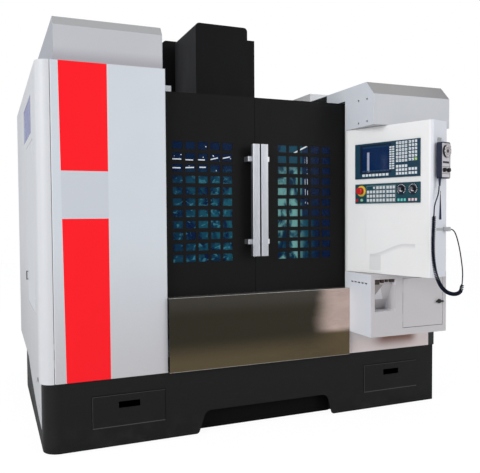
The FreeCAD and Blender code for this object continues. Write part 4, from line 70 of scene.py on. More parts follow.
def console_spot(along, into, z):
    """A point of the console's own layout, in metres."""
    place = CONSOLE_CORNER + along_face * along + into_face * into
    return spot(place.x, place.y, z)


def end_spot(out, along, z):
    """A point beside the console's end face, in metres."""
    return console_spot(CONSOLE_WIDTH + out, along, z)


print("console face starts at", tuple(round(v, 3) for v in console_spot(0, 0, 0)))

# %% [markdown]
# The camera is the photograph's: its place and turn were solved from the edges of the towers, the
# base and the doors. It could be aimed with a Track To constraint, but that leaves out the
# picture's slight roll, so its three axes are written as the columns of a matrix. Its lens follows
# from the same sums, with the optical axis in the middle.

# %% Camera
CAMERA_PLACE = (-1599.7, -3516.8, 1352.3)
YAW, PITCH, ROLL = (math.radians(angle) for angle in (22.33, 2.154, -0.3616))
FOCAL_LENGTH = 613.6 / 480.0     # times the picture's width
SENSOR_WIDTH = 36.0
camera_data = bpy.data.cameras.new("studio_camera")
camera_data.sensor_width = SENSOR_WIDTH
camera_data.lens = SENSOR_WIDTH * FOCAL_LENGTH
camera_data.clip_end = 60.0
camera = bpy.data.objects.new("studio_camera", camera_data)
bpy.context.scene.collection.objects.link(camera)

look = Vector((math.sin(YAW) * math.cos(PITCH), math.cos(YAW) * math.cos(PITCH), -math.sin(PITCH)))
level_right = Vector((math.cos(YAW), -math.sin(YAW), 0.0))
level_up = level_right.cross(look)
right = level_right * math.cos(ROLL) + level_up * math.sin(ROLL)
up = level_up * math.cos(ROLL) - level_right * math.sin(ROLL)
turned = Matrix((right, up, -look)).transposed().to_4x4()
camera.matrix_world = Matrix.Translation(spot(*CAMERA_PLACE)) @ turned
bpy.context.scene.camera = camera
print("camera at", tuple(round(v, 2) for v in camera.location), "lens", round(camera_data.lens, 1))

# %% [markdown]
# The pendant's cord leaves the pendant straight, winds down in tight curls, swings round in a deep
# loop and comes back straight to a clip. The curls could be an array of one turn bent along a
# curve, but that squeezes them in the bends and leaves a joint after each turn. So the whole cord
# is one spline: its straight ends are a few control points, and its curls are wound by a formula
# round the smooth line that the hanging route makes.

# %% The hanging route
LEAD_ROUTE = ((26.0, 34.0, 1506.8), (26.0, 34.0, 1464.0), (22.6, -10.3, 1396.0),
              (23.0, -14.0, 1340.2))
CURL_ROUTE = ((23.0, -14.0, 1340.0), (23.6, -20.0, 1250.0), (26.0, -29.0, 1160.0),
              (33.0, -34.0, 1070.0), (44.0, -26.0, 985.0), (53.0, 14.0, 915.0),
              (58.0, 72.0, 876.0), (60.0, 145.0, 858.0), (60.0, 207.0, 860.0),
              (59.5, 238.0, 879.0), (59.0, 244.0, 919.0))
TAIL_ROUTE = ((58.99, 244.03, 919.2), (58.4, 251.1, 966.3), (55.0, 253.0, 1006.0),
              (50.0, 250.0, 1053.0), (45.0, 245.0, 1102.0), (39.0, 238.0, 1148.0),
              (33.0, 229.0, 1190.0), (27.0, 216.0, 1226.0), (22.0, 190.0, 1250.0),
              (22.0, 150.2, 1250.0))
CORD_RADIUS = 0.0036
CURL_RADIUS = 0.0086
CURLS = 68


def smooth_curve(name, points, steps):
    """A curve object with one open, smooth spline from its first to its last point."""
    data = bpy.data.curves.new(name, "CURVE")
    data.dimensions = "3D"
    line = data.splines.new("NURBS")
    line.points.add(len(points) - 1)
    for corner, point in zip(line.points, points):
        corner.co = (*point, 1.0)
        corner.radius = CORD_RADIUS
    line.order_u = 3
    line.use_endpoint_u = True
    data.resolution_u = steps
    shape = bpy.data.objects.new(name, data)
    bpy.context.scene.collection.objects.link(shape)
    return shape


route_curve = smooth_curve("route_of_curls", [end_spot(*point) for point in CURL_ROUTE], 12)
route_mesh = bpy.data.meshes.new_from_object(route_curve)
middle_line = [vertex.co.copy() for vertex in route_mesh.vertices]
bpy.data.objects.remove(route_curve)
bpy.data.meshes.remove(route_mesh)
route_length = sum((b - a).length for a, b in zip(middle_line, middle_line[1:]))
print("the curls hang over", round(route_length, 3), "m")

# %% Wind the curls round the route
STATIONS_PER_CURL = 12
STRAIGHT_END = 0.0064            # left unwound at each end of the route
CONTROL_SPREAD = 1.035           # a smooth spline runs a little inside its control points,
SPLINE_SHARE = 0.985             # and is a little shorter than the chain of them


def station_on(line, distance):
    """The point and direction on a chain of points at a distance along it."""
    for start, end in zip(line, line[1:]):
        stretch = (end - start).length
        if distance <= stretch:
            break
        distance -= stretch
    way = (end - start).normalized()
    return start + way * min(distance, stretch), way


curl_points = []
stations = CURLS * STATIONS_PER_CURL
for index in range(stations + 1):
    distance = STRAIGHT_END + (route_length - 2 * STRAIGHT_END) * index / stations
    middle, way = station_on(middle_line, distance)
    spoke = (along_face - way * along_face.dot(way)).normalized()
    angle = 2 * math.pi * index / STATIONS_PER_CURL
    growth = min(1.0, min(index, stations - index) / STATIONS_PER_CURL)
    growth = growth * growth * (3 - 2 * growth)
    swing = spoke * math.cos(angle) + way.cross(spoke) * math.sin(angle)
    curl_points.append(middle + swing * CURL_RADIUS * CONTROL_SPREAD * growth)

cord_points = [end_spot(*point) for point in LEAD_ROUTE] + curl_points
cord_points += [end_spot(*point) for point in TAIL_ROUTE]
cord = smooth_curve("pendant_cord", cord_points, 3)
cord.data.bevel_depth = 1.0      # times each point's own radius
cord.data.bevel_resolution = 2
cord.data.use_fill_caps = True
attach(cord, "console")
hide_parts("cord_lead", "curly_cord", "cord_tail")
wire_length = sum((b - a).length for a, b in zip(cord_points, cord_points[1:])) * SPLINE_SHARE
end_spot(*LEAD_ROUTE[0])
print("cord control points:", len(cord_points), "length about", round(wire_length, 2), "m")

# %% [markdown]
# Materials are written as sums. The same nodes could be placed by hand in the shader editor, where
# a mask of ten Math nodes is hard to read and harder to change. Here a small class wraps one output
# of a node, so that noise and masks can be added and multiplied in plain Python, and each
# operation becomes a Math node. Every other node comes from one function.


# %% Sums on shader outputs
def add_node(tree, kind, settings=None, values=None, output=0):
    """Adds any node: its settings first, then the values or links of its sockets."""
    made = tree.nodes.new(kind)
    for name, value in (settings or {}).items():
        setattr(made, name, value)
    for name, value in (values or {}).items():
        if isinstance(value, Signal):
            tree.links.new(value.socket, made.inputs[name])
        else:
            made.inputs[name].default_value = value
    return Signal(tree, made.outputs[output]) if made.outputs else None


class Signal:
    """One output in a material, which can be added, multiplied and compared like a number."""

    def __init__(self, tree, socket):
        self.tree = tree
        self.socket = socket

    def sum_node(self, operation, *values):
        """One Math node on the given numbers and signals."""
        slots = dict(enumerate(values))
        return add_node(self.tree, "ShaderNodeMath", {"operation": operation}, slots)

    def __add__(self, other):
        return self.sum_node("ADD", self, other)

    __radd__ = __add__

    def __mul__(self, other):
        return self.sum_node("MULTIPLY", self, other)

    __rmul__ = __mul__

    def __sub__(self, other):
        return self.sum_node("SUBTRACT", self, other)

    def __rsub__(self, other):
        return self.sum_node("SUBTRACT", other, self)

    def __truediv__(self, other):
        return self.sum_node("DIVIDE", self, other)

    def __rtruediv__(self, other):
        return self.sum_node("DIVIDE", other, self)

    def __abs__(self):
        return self.sum_node("ABSOLUTE", self)

    def above(self, edge):
        """1 where the signal is over an edge, else 0."""
        return self.sum_node("GREATER_THAN", self, edge)

    def below(self, edge):
        """1 where the signal is under an edge, else 0."""
        return self.sum_node("LESS_THAN", self, edge)

    def between(self, low, high):
        """1 where the signal lies between two values, else 0."""
        return self.above(low) * self.below(high)

    def ramp(self, low, high):
        """0 under low, 1 over high, and smooth in between."""
        return add_node(self.tree, "ShaderNodeMapRange", {"interpolation_type": "SMOOTHSTEP"},
                        {"Value": self, "From Min": low, "From Max": high}, "Result")

    def repeat(self, pitch):
        """The signal folded back to 0 at every pitch."""
        return self.sum_node("FRACT", self / pitch) * pitch

    def whole(self, pitch):
        """The number of whole pitches in the signal."""
        return self.sum_node("FLOOR", self / pitch)

    def power(self, exponent):
        """The signal raised to an exponent."""
        return self.sum_node("POWER", self, exponent)

    def arctan(self, other):
        """The angle whose tangent is this signal over another, in all four quarters."""
        return self.sum_node("ARCTAN2", self, other)


# %% [markdown]
# Every finish starts from the same few things: a Principled shader, the piece's own coordinates,
# and ways to ask for noise and to lay one colour over another. Image textures could do the same,
# but they need unwrapping and blur close up, while a finish worked out from coordinates fits every
# piece and stays sharp. What is the same all over a surface is set on the shader, and only what
# changes over it is linked.


# %% A finish written in a few lines
def darker(colour, share):
    """A colour with only a share of its brightness."""
    return tuple(channel * share for channel in colour)


class Finish:
    """A material with one Principled shader and helpers that add nodes to it."""

    def __init__(self, name, colour, roughness, metallic=0.0, gloss=0.5):
        self.material = bpy.data.materials.new(name)
        self.material.use_nodes = True
        self.tree = self.material.node_tree
        self.shader = self.tree.nodes["Principled BSDF"]
        fixed = {"Base Color": (*colour, 1.0), "Roughness": roughness, "Metallic": metallic,
                 "Specular IOR Level": gloss}
        for socket, value in fixed.items():
            self.shader.inputs[socket].default_value = value
        self.layers = tuple(colour)
        self.place = self.node("ShaderNodeTexCoord", output="Object")
        self.x, self.y, self.z = (self.axis_of(self.place, axis) for axis in "XYZ")

    def node(self, kind, settings=None, values=None, output=0):
        """Adds any node to this material."""
        return add_node(self.tree, kind, settings, values, output)

    def axis_of(self, vector, axis):
        """One axis of a vector."""
        return self.node("ShaderNodeSeparateXYZ", values={"Vector": vector}, output=axis)

    def facing(self, axis):
        """How far the surface faces along one of the machine's axes, from -1 to 1."""
        return self.axis_of(self.node("ShaderNodeNewGeometry", output="Normal"), axis)

    def noise(self, scale, detail=3.0, stretch=None, distortion=0.0):
        """Noise from 0 to 1 at a number of grains per metre, which may differ per axis."""
        source = self.place
        if stretch:
            source = self.node("ShaderNodeMapping", values={"Vector": source, "Scale": stretch})
        return self.node("ShaderNodeTexNoise", values={"Vector": source, "Scale": scale,
                                                       "Detail": detail, "Distortion": distortion})

    def blend(self, base, other, share):
        """A colour between two colours; each is three numbers or a link."""
        base, other = (side if isinstance(side, Signal) else (*side, 1.0) for side in (base, other))
        factor_slot, first_slot, second_slot, result = 0, 6, 7, 2
        values = {first_slot: base, second_slot: other, factor_slot: share}
        return self.node("ShaderNodeMix", {"data_type": "RGBA"}, values, result)

    def paint(self, colour, mask):
        """Lays a colour over what is already there."""
        self.layers = self.blend(self.layers, colour, mask)
        self.feed("Base Color", self.layers)

    def feed(self, socket, value):
        """Links a signal to one of the shader's sockets."""
        self.tree.links.new(value.socket, self.shader.inputs[socket])

    def even_grain(self, roughness, scale=1400.0):
        """Lets the roughness follow a fine even grain, and returns the grain."""
        grain = self.noise(scale, 1.0)
        self.feed("Roughness", roughness + (grain - 0.5) * 0.1)
        return grain

    def bump(self, height, distance, strength):
        """Raises the surface by a height signal."""
        values = {"Height": height, "Distance": distance, "Strength": strength}
        self.feed("Normal", self.node("ShaderNodeBump", values=values, output="Normal"))


def dress(finish, *names):
    """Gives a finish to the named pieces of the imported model."""
    for name in names:
        materials = nodes[name].data.materials
        materials.clear()
        materials.append(finish.material)
    print(finish.material.name, "is on", ", ".join(names))


# %% [markdown]
# The sheet-metal covers are powder-coated: an even colour with a very fine orange-peel skin, a
# little softer sheen where hands and rags have been, and a trace of dust near the floor. One flat
# colour would look like plastic. Slow noises in the colour and the sheen and a fast one in the
# bump are enough for paint, and one function can then coat every cover in its own tone.


# %% Powder coat
def powder_coat(name, colour, roughness=0.42, dust=0.12, peel=0.00012, gloss=0.35):
    """A sprayed and baked paint with orange peel, wiping marks and dust near the floor."""
    coat = Finish(name, colour, roughness, gloss=gloss)
    wiped = coat.noise(9.0, 3.0, stretch=(1.0, 1.0, 0.35))
    low = 1 - coat.z.ramp(0.02, 0.55)
    grime = low * coat.noise(14.0, 5.0).ramp(0.42, 0.7) * dust
    coat.paint(darker(colour, 0.95), coat.noise(1.7, 4.0).ramp(0.35, 0.75) * 0.6)
    coat.paint(darker(colour, 0.6), grime)
    coat.feed("Roughness", roughness + (wiped - 0.5) * 0.12 + grime * 0.4)
    coat.bump(coat.noise(520.0, 1.0), peel, 0.6)
    return coat


dress(powder_coat("rear_white", (0.62, 0.635, 0.655)), "rear_cover")
door_white = powder_coat("service_door_white", (0.62, 0.635, 0.655))
on_grip = door_white.x.below(-1.3525) * door_white.z.between(0.86, 1.03)
door_white.paint((0.12, 0.12, 0.13), on_grip)
dress(door_white, "left_service_door")
dress(powder_coat("cupboard_white", (0.52, 0.50, 0.505)), "cupboard_door")
dress(powder_coat("cabinet_grey", (0.50, 0.515, 0.535)), "electrical_cabinet", "cabinet_door")

# %% [markdown]
# The lower console's side that faces left has painted light, lighter than its front. Its niche
# has a grey painted light tone, with a painted highlight on a chute down the middle and painted
# shade on the flank beside it, and the gap round its cupboard's door has painted shade inside.
# Extra lamps could give these tones, but they would also light whatever is beside them, so they are
# painted where the place and the turn of the surface ask for them.

# %% Lower console
NICHE = ((0.646, 0.810), (-1.106, -1.018), (0.700, 0.890))      # in x, y and z
CHUTE_MIDDLE = 0.728
CHUTE_HEAD = 0.868
CUPBOARD_BOX = ((0.860, 1.191), (0.602, 0.934))                 # in x and z
lower_white = powder_coat("lower_white", (0.52, 0.50, 0.505))
# painted light: the side that faces left is lighter than the front
lower_white.paint((0.74, 0.77, 0.82), lower_white.facing("X").ramp(-0.5, -0.9))
facing_back = lower_white.facing("Y").ramp(0.1, 0.3)
in_niche = lower_white.x.between(*NICHE[0]) * lower_white.z.between(*NICHE[2])
in_niche = in_niche * lower_white.y.between(*NICHE[1]) * (1 - facing_back)
chute_half = (CHUTE_HEAD - lower_white.z) * 0.55
from_middle = lower_white.x - CHUTE_MIDDLE
shaded_flank = (from_middle + chute_half).below(0.0)
lit_chute = (1 - shaded_flank) * (from_middle - chute_half).below(0.0)
# painted light in the niche, a painted highlight on its chute and painted shade on its left flank
lower_white.paint((0.60, 0.58, 0.59), in_niche)
lower_white.paint((0.80, 0.79, 0.81), in_niche * lit_chute)
lower_white.paint((0.40, 0.355, 0.35), in_niche * shaded_flank)
shaded_gap = lower_white.y.between(spot(0, -271.5, 0).y, spot(0, -262.0, 0).y)
round_door = lower_white.x.between(*CUPBOARD_BOX[0]) * lower_white.z.between(*CUPBOARD_BOX[1])
# painted shade inside the gap round the cupboard's door
lower_white.paint((0.02, 0.02, 0.02), shaded_gap * round_door)
dress(lower_white, "lower_console")

# %% [markdown]
# The left tower's front carries a wide red stripe with a bare grey field between its upper and
# lower part. The stripe is a film on the paint. A thin piece of its own would flicker against the
# panel, so it is a mask, worked out from the panel's own x and z because its left edge leans a
# little. The paint is greyer towards the floor.

# %% Left tower front with its red stripe
STRIPE_HEAD, STRIPE_FOOT = 2.198, 0.410
STRIPE_LEFT_HEAD, STRIPE_LEFT_FOOT = -1.229, -1.209
STRIPE_RIGHT = -0.962
BARE_FIELD = (1.328, 1.595)
stripe_coat = powder_coat("striped_cover", (0.62, 0.655, 0.69), gloss=0.25)
lean = (STRIPE_LEFT_HEAD - STRIPE_LEFT_FOOT) / (STRIPE_HEAD - STRIPE_FOOT)
left_edge = (stripe_coat.z - STRIPE_FOOT) * lean + STRIPE_LEFT_FOOT
outside = stripe_coat.y.below(spot(0, 1.5, 0).y)
on_stripe = (stripe_coat.x - left_edge).above(0.0) * stripe_coat.x.below(STRIPE_RIGHT) * outside
bare = stripe_coat.z.between(*BARE_FIELD)
# greyer towards the floor
stripe_coat.paint((0.50, 0.485, 0.49), (1 - stripe_coat.z.ramp(0.35, 1.3)) * 0.8)
stripe_coat.paint((0.56, 0.59, 0.63), on_stripe * bare)
stripe_coat.paint((0.98, 0.0035, 0.011), on_stripe * (1 - bare))
dress(stripe_coat, "left_front_panel")

# %% [markdown]
# The side walls wrap round the towers' front corners. The right one's corner strip is black below
# the ledge, where it belongs to the dark foot of the machine. The front sheet beside it has a
# painted pinkish reflection of the bright apron towards its foot, and a painted brown shadow under
# the lower console. Strip and sheet could have a material each, but they meet on one edge, and one
# finish with masks keeps their paint alike there.

# %% Side walls and the right tower's front
FRONT_PLANE = spot(0, 0, 0).y
LEDGE_HEIGHT = 0.562
STRIP_EDGE = 1.295
cover_white = powder_coat("cover_white", (0.62, 0.63, 0.645))
past_corner = cover_white.y.ramp(FRONT_PLANE + 0.07, FRONT_PLANE + 0.20)
greyed = (1 - cover_white.z.ramp(0.35, 1.25)) * past_corner
cover_white.paint((0.47, 0.475, 0.48), greyed * 0.9)
dress(cover_white, "left_side_cover")

footed_white = powder_coat("footed_white", (0.67, 0.68, 0.685))
on_face = footed_white.y.below(FRONT_PLANE + 0.006)
# painted reflection: warm light from the bright apron on the sheet's foot
footed_white.paint((0.66, 0.565, 0.55), (1 - footed_white.z.ramp(0.46, 0.60)) * on_face * 0.9)
box_shadow = footed_white.z.ramp(0.41, 0.49) * footed_white.z.below(0.60)
box_shadow = box_shadow * footed_white.x.ramp(0.79, 0.93) * (1 - footed_white.x.ramp(1.12, 1.22))
# painted shadow under the lower console
footed_white.paint((0.19, 0.06, 0.025), on_face * box_shadow * 0.85)
on_foot = footed_white.z.below(LEDGE_HEIGHT) * footed_white.x.above(STRIP_EDGE)
on_foot = on_foot * footed_white.y.below(FRONT_PLANE + 0.014)
footed_white.paint((0.012, 0.016, 0.014), on_foot)
dress(footed_white, "right_side_cover", "right_front_panel")

# %% [markdown]
# The boxes on top have painted shade on their sloped tops. The left box's side that faces left has
# painted shade and the right box's side that faces left has painted light. The left box also has
# painted shade towards its foot, where it sits on the tower. Faces could be picked by hand for a
# second material, but a imported piece is loose triangles. The surface's normal tells a top from a
# side without picking, and it keeps doing so if the box changes its size.

# %% Top boxes
TOWER_TOP = 2.200
housing_white = powder_coat("housing_white", (0.505, 0.51, 0.53))
# painted shade towards the foot, where the box sits on the tower
foot_shade = 1 - housing_white.z.ramp(TOWER_TOP + 0.005, TOWER_TOP + 0.085)
housing_white.paint((0.36, 0.345, 0.37), foot_shade * 0.9)
upper_white = powder_coat("upper_white", (0.51, 0.52, 0.54))
to_side = upper_white.x.ramp(0.85, 1.35)
upper_slope_shade = upper_white.blend((0.325, 0.32, 0.315), (0.26, 0.255, 0.255), to_side)
# painted light and shade by facing: the left sides and the sloped tops
for box, side_light_and_shade, slope_shade in ((housing_white, (0.378, 0.391, 0.425), (0.345, 0.35, 0.35)),
                                   (upper_white, (0.64, 0.67, 0.715), upper_slope_shade)):
    box.paint(side_light_and_shade, box.facing("X").ramp(-0.5, -0.9))
    box.paint(slope_shade, box.facing("Z").ramp(0.3, 0.6))
dress(housing_white, "left_top_housing")
dress(upper_white, "right_upper_housing")

# %% [markdown]
# The doors, the base and the covers over the head and column are black. The doors and covers have a
# satin coat, the base a coarser textured one that shows scuffs and dust, and the fronts of its
# drawers have a painted highlight along their top, bottom and left edges. Pure black would swallow
# every edge, so each is a very dark grey with little gloss, and the highlight is a mask a few
# millimetres wide.

# %% Black coats
door_black = powder_coat("door_black", (0.006, 0.006, 0.006), 0.5, dust=0.0, gloss=0.1)
dress(door_black, "left_door", "right_door")
cover_black = powder_coat("cover_black", (0.003, 0.003, 0.0035), 0.5, dust=0.0, gloss=0.12)
dress(cover_black, "motor_cover", "column_cover")
tank_black = powder_coat("tank_black", (0.003, 0.003, 0.003), 0.6, dust=0.0, gloss=0.08)
dress(tank_black, "coolant_tank")

DRAWER_SPANS = ((-1072.0, -639.0), (755.0, 1197.0))
DRAWER_FOOT, DRAWER_HEAD = 122.0, 311.0
LIT_EDGE_WIDTH = 5.0
base_black = Finish("base_black", (0.0075, 0.0075, 0.0075), 0.5, gloss=0.18)
grain = base_black.noise(650.0, 2.0)
scuff = base_black.noise(26.0, 6.0, stretch=(0.4, 0.4, 2.5)).ramp(0.62, 0.78)
low_dust = (1 - base_black.z.ramp(0.0, 0.22)) * base_black.noise(11.0, 5.0).ramp(0.4, 0.75)
base_black.paint((0.022, 0.021, 0.020), scuff * 0.35)
base_black.paint((0.045, 0.043, 0.04), low_dust * 0.25)
# painted highlight along the drawers' top, bottom and left edges
lit_edges = 1 - base_black.z.between((DRAWER_FOOT + LIT_EDGE_WIDTH) / 1000, (DRAWER_HEAD - LIT_EDGE_WIDTH) / 1000)
for left, _ in DRAWER_SPANS:
    lit_edges = lit_edges + base_black.x.between(left / 1000, (left + LIT_EDGE_WIDTH) / 1000)
on_front = base_black.y.below(spot(0, 6.0, 0).y)
base_black.paint((0.065, 0.065, 0.067), lit_edges.above(0.5) * on_front)
base_black.feed("Roughness", 0.46 + grain * 0.12 + low_dust * 0.2)
base_black.bump(grain, 0.0004, 0.5)
dress(base_black, "base_skirt", "chip_drawer_left", "chip_drawer_right")

# %% [markdown]
# Bright metal: the handles are brushed along their length, the table and the screws are ground, and
# the rails, feet, splash guards and tool discs are zinc-plated, with its grey bloom. Anisotropic
# gloss alone could draw the highlight out, but then nothing shows close up. Noise that is stretched
# along the lines gives both, and a cell pattern gives the zinc its crystals.


# %% Metals
def brushed(name, colour, roughness, stretch):
    """A metal with fine lines along one axis: stretch is small along the lines."""
    metal = Finish(name, colour, roughness, 1.0)
    lines = metal.noise(900.0, 3.0, stretch=stretch)
    smear = metal.noise(6.0, 3.0)
    metal.feed("Roughness", roughness + (lines - 0.5) * 0.16 + (smear - 0.5) * 0.1)
    metal.paint(darker(colour, 0.88), lines.ramp(0.3, 0.7) * 0.5)
    metal.bump(lines, 0.00006, 0.35)
    return metal


handle_alu = brushed("handle_alu", (0.60, 0.61, 0.64), 0.42, (1.0, 1.0, 0.02))
dress(handle_alu, "left_door_handle", "right_door_handle")
ground_steel = brushed("ground_steel", (0.62, 0.62, 0.63), 0.24, (0.05, 1.0, 1.0))
dress(ground_steel, "table", "ball_screws", "x_ball_screw")
turned_steel = brushed("turned_steel", (0.60, 0.60, 0.61), 0.22, (1.0, 1.0, 1.0))
dress(turned_steel, "spindle", "pendant_bracket")

zinc = Finish("zinc_sheet", (0.42, 0.43, 0.44), 0.4, 0.85)
crystals = {"Vector": zinc.place, "Scale": 90.0}
spangle = zinc.node("ShaderNodeTexVoronoi", values=crystals, output="Distance")
zinc.feed("Roughness", 0.34 + spangle * 0.22)
zinc.paint((0.52, 0.53, 0.55), spangle.ramp(0.1, 0.6))
dress(zinc, "door_rails", "splash_guards", "levelling_feet", "tool_carousel")

# %% [markdown]
# The apron is bright rolled stainless sheet. What it shows is a painted reflection of a room:
# nearly black-brown over most of its width, warmer towards its foot and pale along its right end,
# with a painted highlight along its top and bottom edges. A plain mirror would need the whole
# workshop round it, so the reflection is painted in layers, from the first to the last of a table.

# %% Stainless apron with a painted reflection
# the apron's tones are a painted reflection of a room
apron_steel = Finish("apron_steel", (0.118, 0.090, 0.050), 0.22, 0.9)
rolled = apron_steel.noise(700.0, 2.0, stretch=(0.01, 1.0, 1.0))
cloudy = apron_steel.noise(2.6, 4.0, stretch=(0.5, 1.0, 1.2), distortion=0.4)
to_right = (apron_steel.x + (cloudy - 0.5) * 0.25).ramp(0.34, 0.56)
over_foot = apron_steel.z.ramp(0.555, 0.60)
right_end_reflection = apron_steel.blend((0.12, 0.088, 0.048), (0.72, 0.55, 0.47), over_foot)
edge_highlight = 1 - apron_steel.z.between(0.4095, 0.8505)
# layers of the painted reflection, then a painted highlight along the top and bottom edges
for tone, mask in (((0.036, 0.032, 0.021), apron_steel.z.ramp(0.44, 0.60)),
                   ((0.062, 0.056, 0.047), apron_steel.z.ramp(0.72, 0.84)),
                   (right_end_reflection, to_right),
                   ((0.03, 0.025, 0.018), cloudy.ramp(0.5, 0.8) * 0.35),
                   ((0.75, 0.72, 0.68), edge_highlight * 0.8)):
    apron_steel.paint(tone, mask)
apron_steel.feed("Roughness", 0.2 + (rolled - 0.5) * 0.12 + cloudy * 0.1)
apron_steel.bump(rolled, 0.00003, 0.4)
dress(apron_steel, "front_apron")

# %% [markdown]
# The castings are filled and painted light grey, and close up the paint follows the sand-cast skin.
# That skin could be displaced, but only its glints are seen, so the powder coat serves again with a
# deeper peel and more dust.

# %% Castings, motors and magazine
casting = powder_coat("casting_paint", (0.36, 0.38, 0.39), 0.45, dust=0.3, peel=0.0006)
dress(casting, "bed", "column", "saddle", "head", "magazine_frame", "magazine_carriage")
dress(powder_coat("motor_black", (0.02, 0.02, 0.021), 0.4, dust=0.0), "servo_motors")

# %% [markdown]
# The panes behind the doors' holes are tinted polycarbonate. Transmission would be true for it, but
# slow and noisy for so thin a sheet, so alpha with a deep blue body colour stands for it. Over it
# lie
# painted reflections: teal over most of the left one, pale green near the right one's handle, and
# thin white streaks and specks. Each kind is laid on as a mask.


# %% Tinted panes
def tinted_pane(name, deep, cover):
    """Thin tinted sheet: its deep body colour, to which painted reflections are added."""
    pane = Finish(name, deep, 0.25, gloss=0.06)
    pane.flow = pane.noise(13.0, 4.0, stretch=(1.0, 1.0, 0.6), distortion=0.8)
    pane.crust = pane.noise(30.0, 5.0, stretch=(0.8, 1.0, 1.2), distortion=1.0)
    pane.cover = cover
    pane.feed("Roughness", 0.25 + pane.flow.ramp(0.5, 0.8) * 0.2)
    return pane


def add_reflection(pane, colour, mask):
    """Lays one painted reflection over a pane and makes the pane cloudier there."""
    pane.paint(colour, mask)
    pane.cover = pane.cover + mask * 0.05
    pane.feed("Alpha", pane.cover)


DEEP_NAVY = (0.001, 0.010, 0.044)
TEAL_REFLECTION = (0.008, 0.080, 0.115)
PALE_REFLECTION = (0.20, 0.46, 0.42)
REFLECTED_WHITE = (0.70, 0.74, 0.76)
left_pane = tinted_pane("left_door_pane", DEEP_NAVY, 0.93)
# painted reflections on the left pane: teal patches, white streaks and specks
lower_rows = 1 - left_pane.z.ramp(1.52, 1.66)
toward_seam = left_pane.x.ramp(-0.60, -0.20)
teal_share = left_pane.flow.ramp(0.36, 0.62) * (lower_rows * (0.35 + toward_seam * 0.6) + 0.05)
add_reflection(left_pane, TEAL_REFLECTION, teal_share)
add_reflection(left_pane, (0.05, 0.22, 0.28), left_pane.crust.ramp(0.57, 0.66) * lower_rows * 0.6)
REFLECTED_STREAKS = (((-0.575, -0.515), 1.6815, 0.0), ((-0.495, -0.440), 1.6785, -0.02),
                 ((-0.410, -0.365), 1.680, 0.0), ((-0.335, -0.280), 1.682, 0.24),
                 ((-0.255, -0.200), 1.692, 0.2), ((-0.575, -0.520), 1.629, 0.0),
                 ((-0.500, -0.435), 1.630, 0.05), ((-0.400, -0.360), 1.635, 0.0),
                 ((-0.335, -0.305), 1.738, 0.0))
for span, height, slope in REFLECTED_STREAKS:
    line = left_pane.z - height - (left_pane.x - span[0]) * slope
    add_reflection(left_pane, REFLECTED_WHITE, abs(line).below(0.0034) * left_pane.x.between(*span))
specks = left_pane.noise(60.0, 0.0).above(0.785) * left_pane.z.between(1.59, 1.77)
add_reflection(left_pane, REFLECTED_WHITE, specks)
dress(left_pane, "left_door_window")

right_pane = tinted_pane("right_door_pane", DEEP_NAVY, 0.95)
# painted reflections on the right pane: teal, pale green, white dashes and a rising white line
near_handle = 1 - right_pane.x.ramp(0.24, 0.34)
under_head = 1 - right_pane.z.ramp(1.60, 1.68)
dark_column = right_pane.x.above(0.305) * right_pane.z.above(1.32)
teal_share = (1 - right_pane.x.ramp(0.34, 0.42)) * right_pane.flow.ramp(0.30, 0.50) * 0.65
add_reflection(right_pane, TEAL_REFLECTION, teal_share * (1 - dark_column * 0.85))
crusted = near_handle * under_head * right_pane.flow.ramp(0.40, 0.56) * (1 - dark_column) * 0.75
add_reflection(right_pane, PALE_REFLECTION, crusted)
dashes = (right_pane.x + right_pane.z * 0.02).repeat(0.017).below(0.0028)
dashes = dashes * right_pane.x.between(0.325, 0.372) * right_pane.z.between(1.40, 1.73)
add_reflection(right_pane, REFLECTED_WHITE, dashes * right_pane.crust.above(0.45))
rising = abs(right_pane.z - 1.748 - (right_pane.x - 0.26) * 0.5).below(0.005)
add_reflection(right_pane, REFLECTED_WHITE, rising * right_pane.x.between(0.225, 0.345))
dress(right_pane, "right_door_window")

side_pane = tinted_pane("side_pane", (0.27, 0.29, 0.50), 0.85)
add_reflection(side_pane, (0.33, 0.35, 0.54), side_pane.noise(3.0, 3.0).ramp(0.35, 0.7))
dress(side_pane, "side_windows")

# %% [markdown]
# Buttons, knobs and the cord are moulded plastic or rubber: one colour all through, and the fine
# even grain that a spark-eroded mould leaves. Modelled, that grain would take millions of faces. As
# a bump and a little change of roughness it shows only where light glances, as the real one does.


# %% Plastics
def moulded(name, colour, roughness, gloss=0.5):
    """Moulded plastic with a fine even grain."""
    plastic = Finish(name, colour, roughness, gloss=gloss)
    plastic.paint(darker(colour, 0.9), plastic.noise(30.0, 3.0))
    plastic.bump(plastic.even_grain(roughness), 0.00008, 0.5)
    return plastic


stop_red = moulded("stop_red", (0.55, 0.014, 0.012), 0.25)
dress(stop_red, "emergency_stop", "stop_button", "main_switch")
dress(moulded("start_green", (0.35, 0.62, 0.40), 0.25), "start_button")
knob_black = moulded("knob_black", (0.012, 0.012, 0.012), 0.4, gloss=0.3)
dress(knob_black, "axis_selector", "step_selector", "cupboard_latch")
dress(moulded("clip_grey", (0.45, 0.46, 0.47), 0.4), "cord_clip")
cord_rubber = moulded("cord_rubber", (0.003, 0.006, 0.018), 0.6, gloss=0.12)
cord.data.materials.append(cord_rubber.material)

# %% [markdown]
# The controls are laid out along the console's face. A finish for one of its pieces can ask for
# that layout too: how far a point lies along the face, how far into it, and at what height. Keys,
# dials and the picture on the screen are masks in that layout. An unwrapped image could hold them,
# but masks in millimetres can be read off the drawing and moved with it.


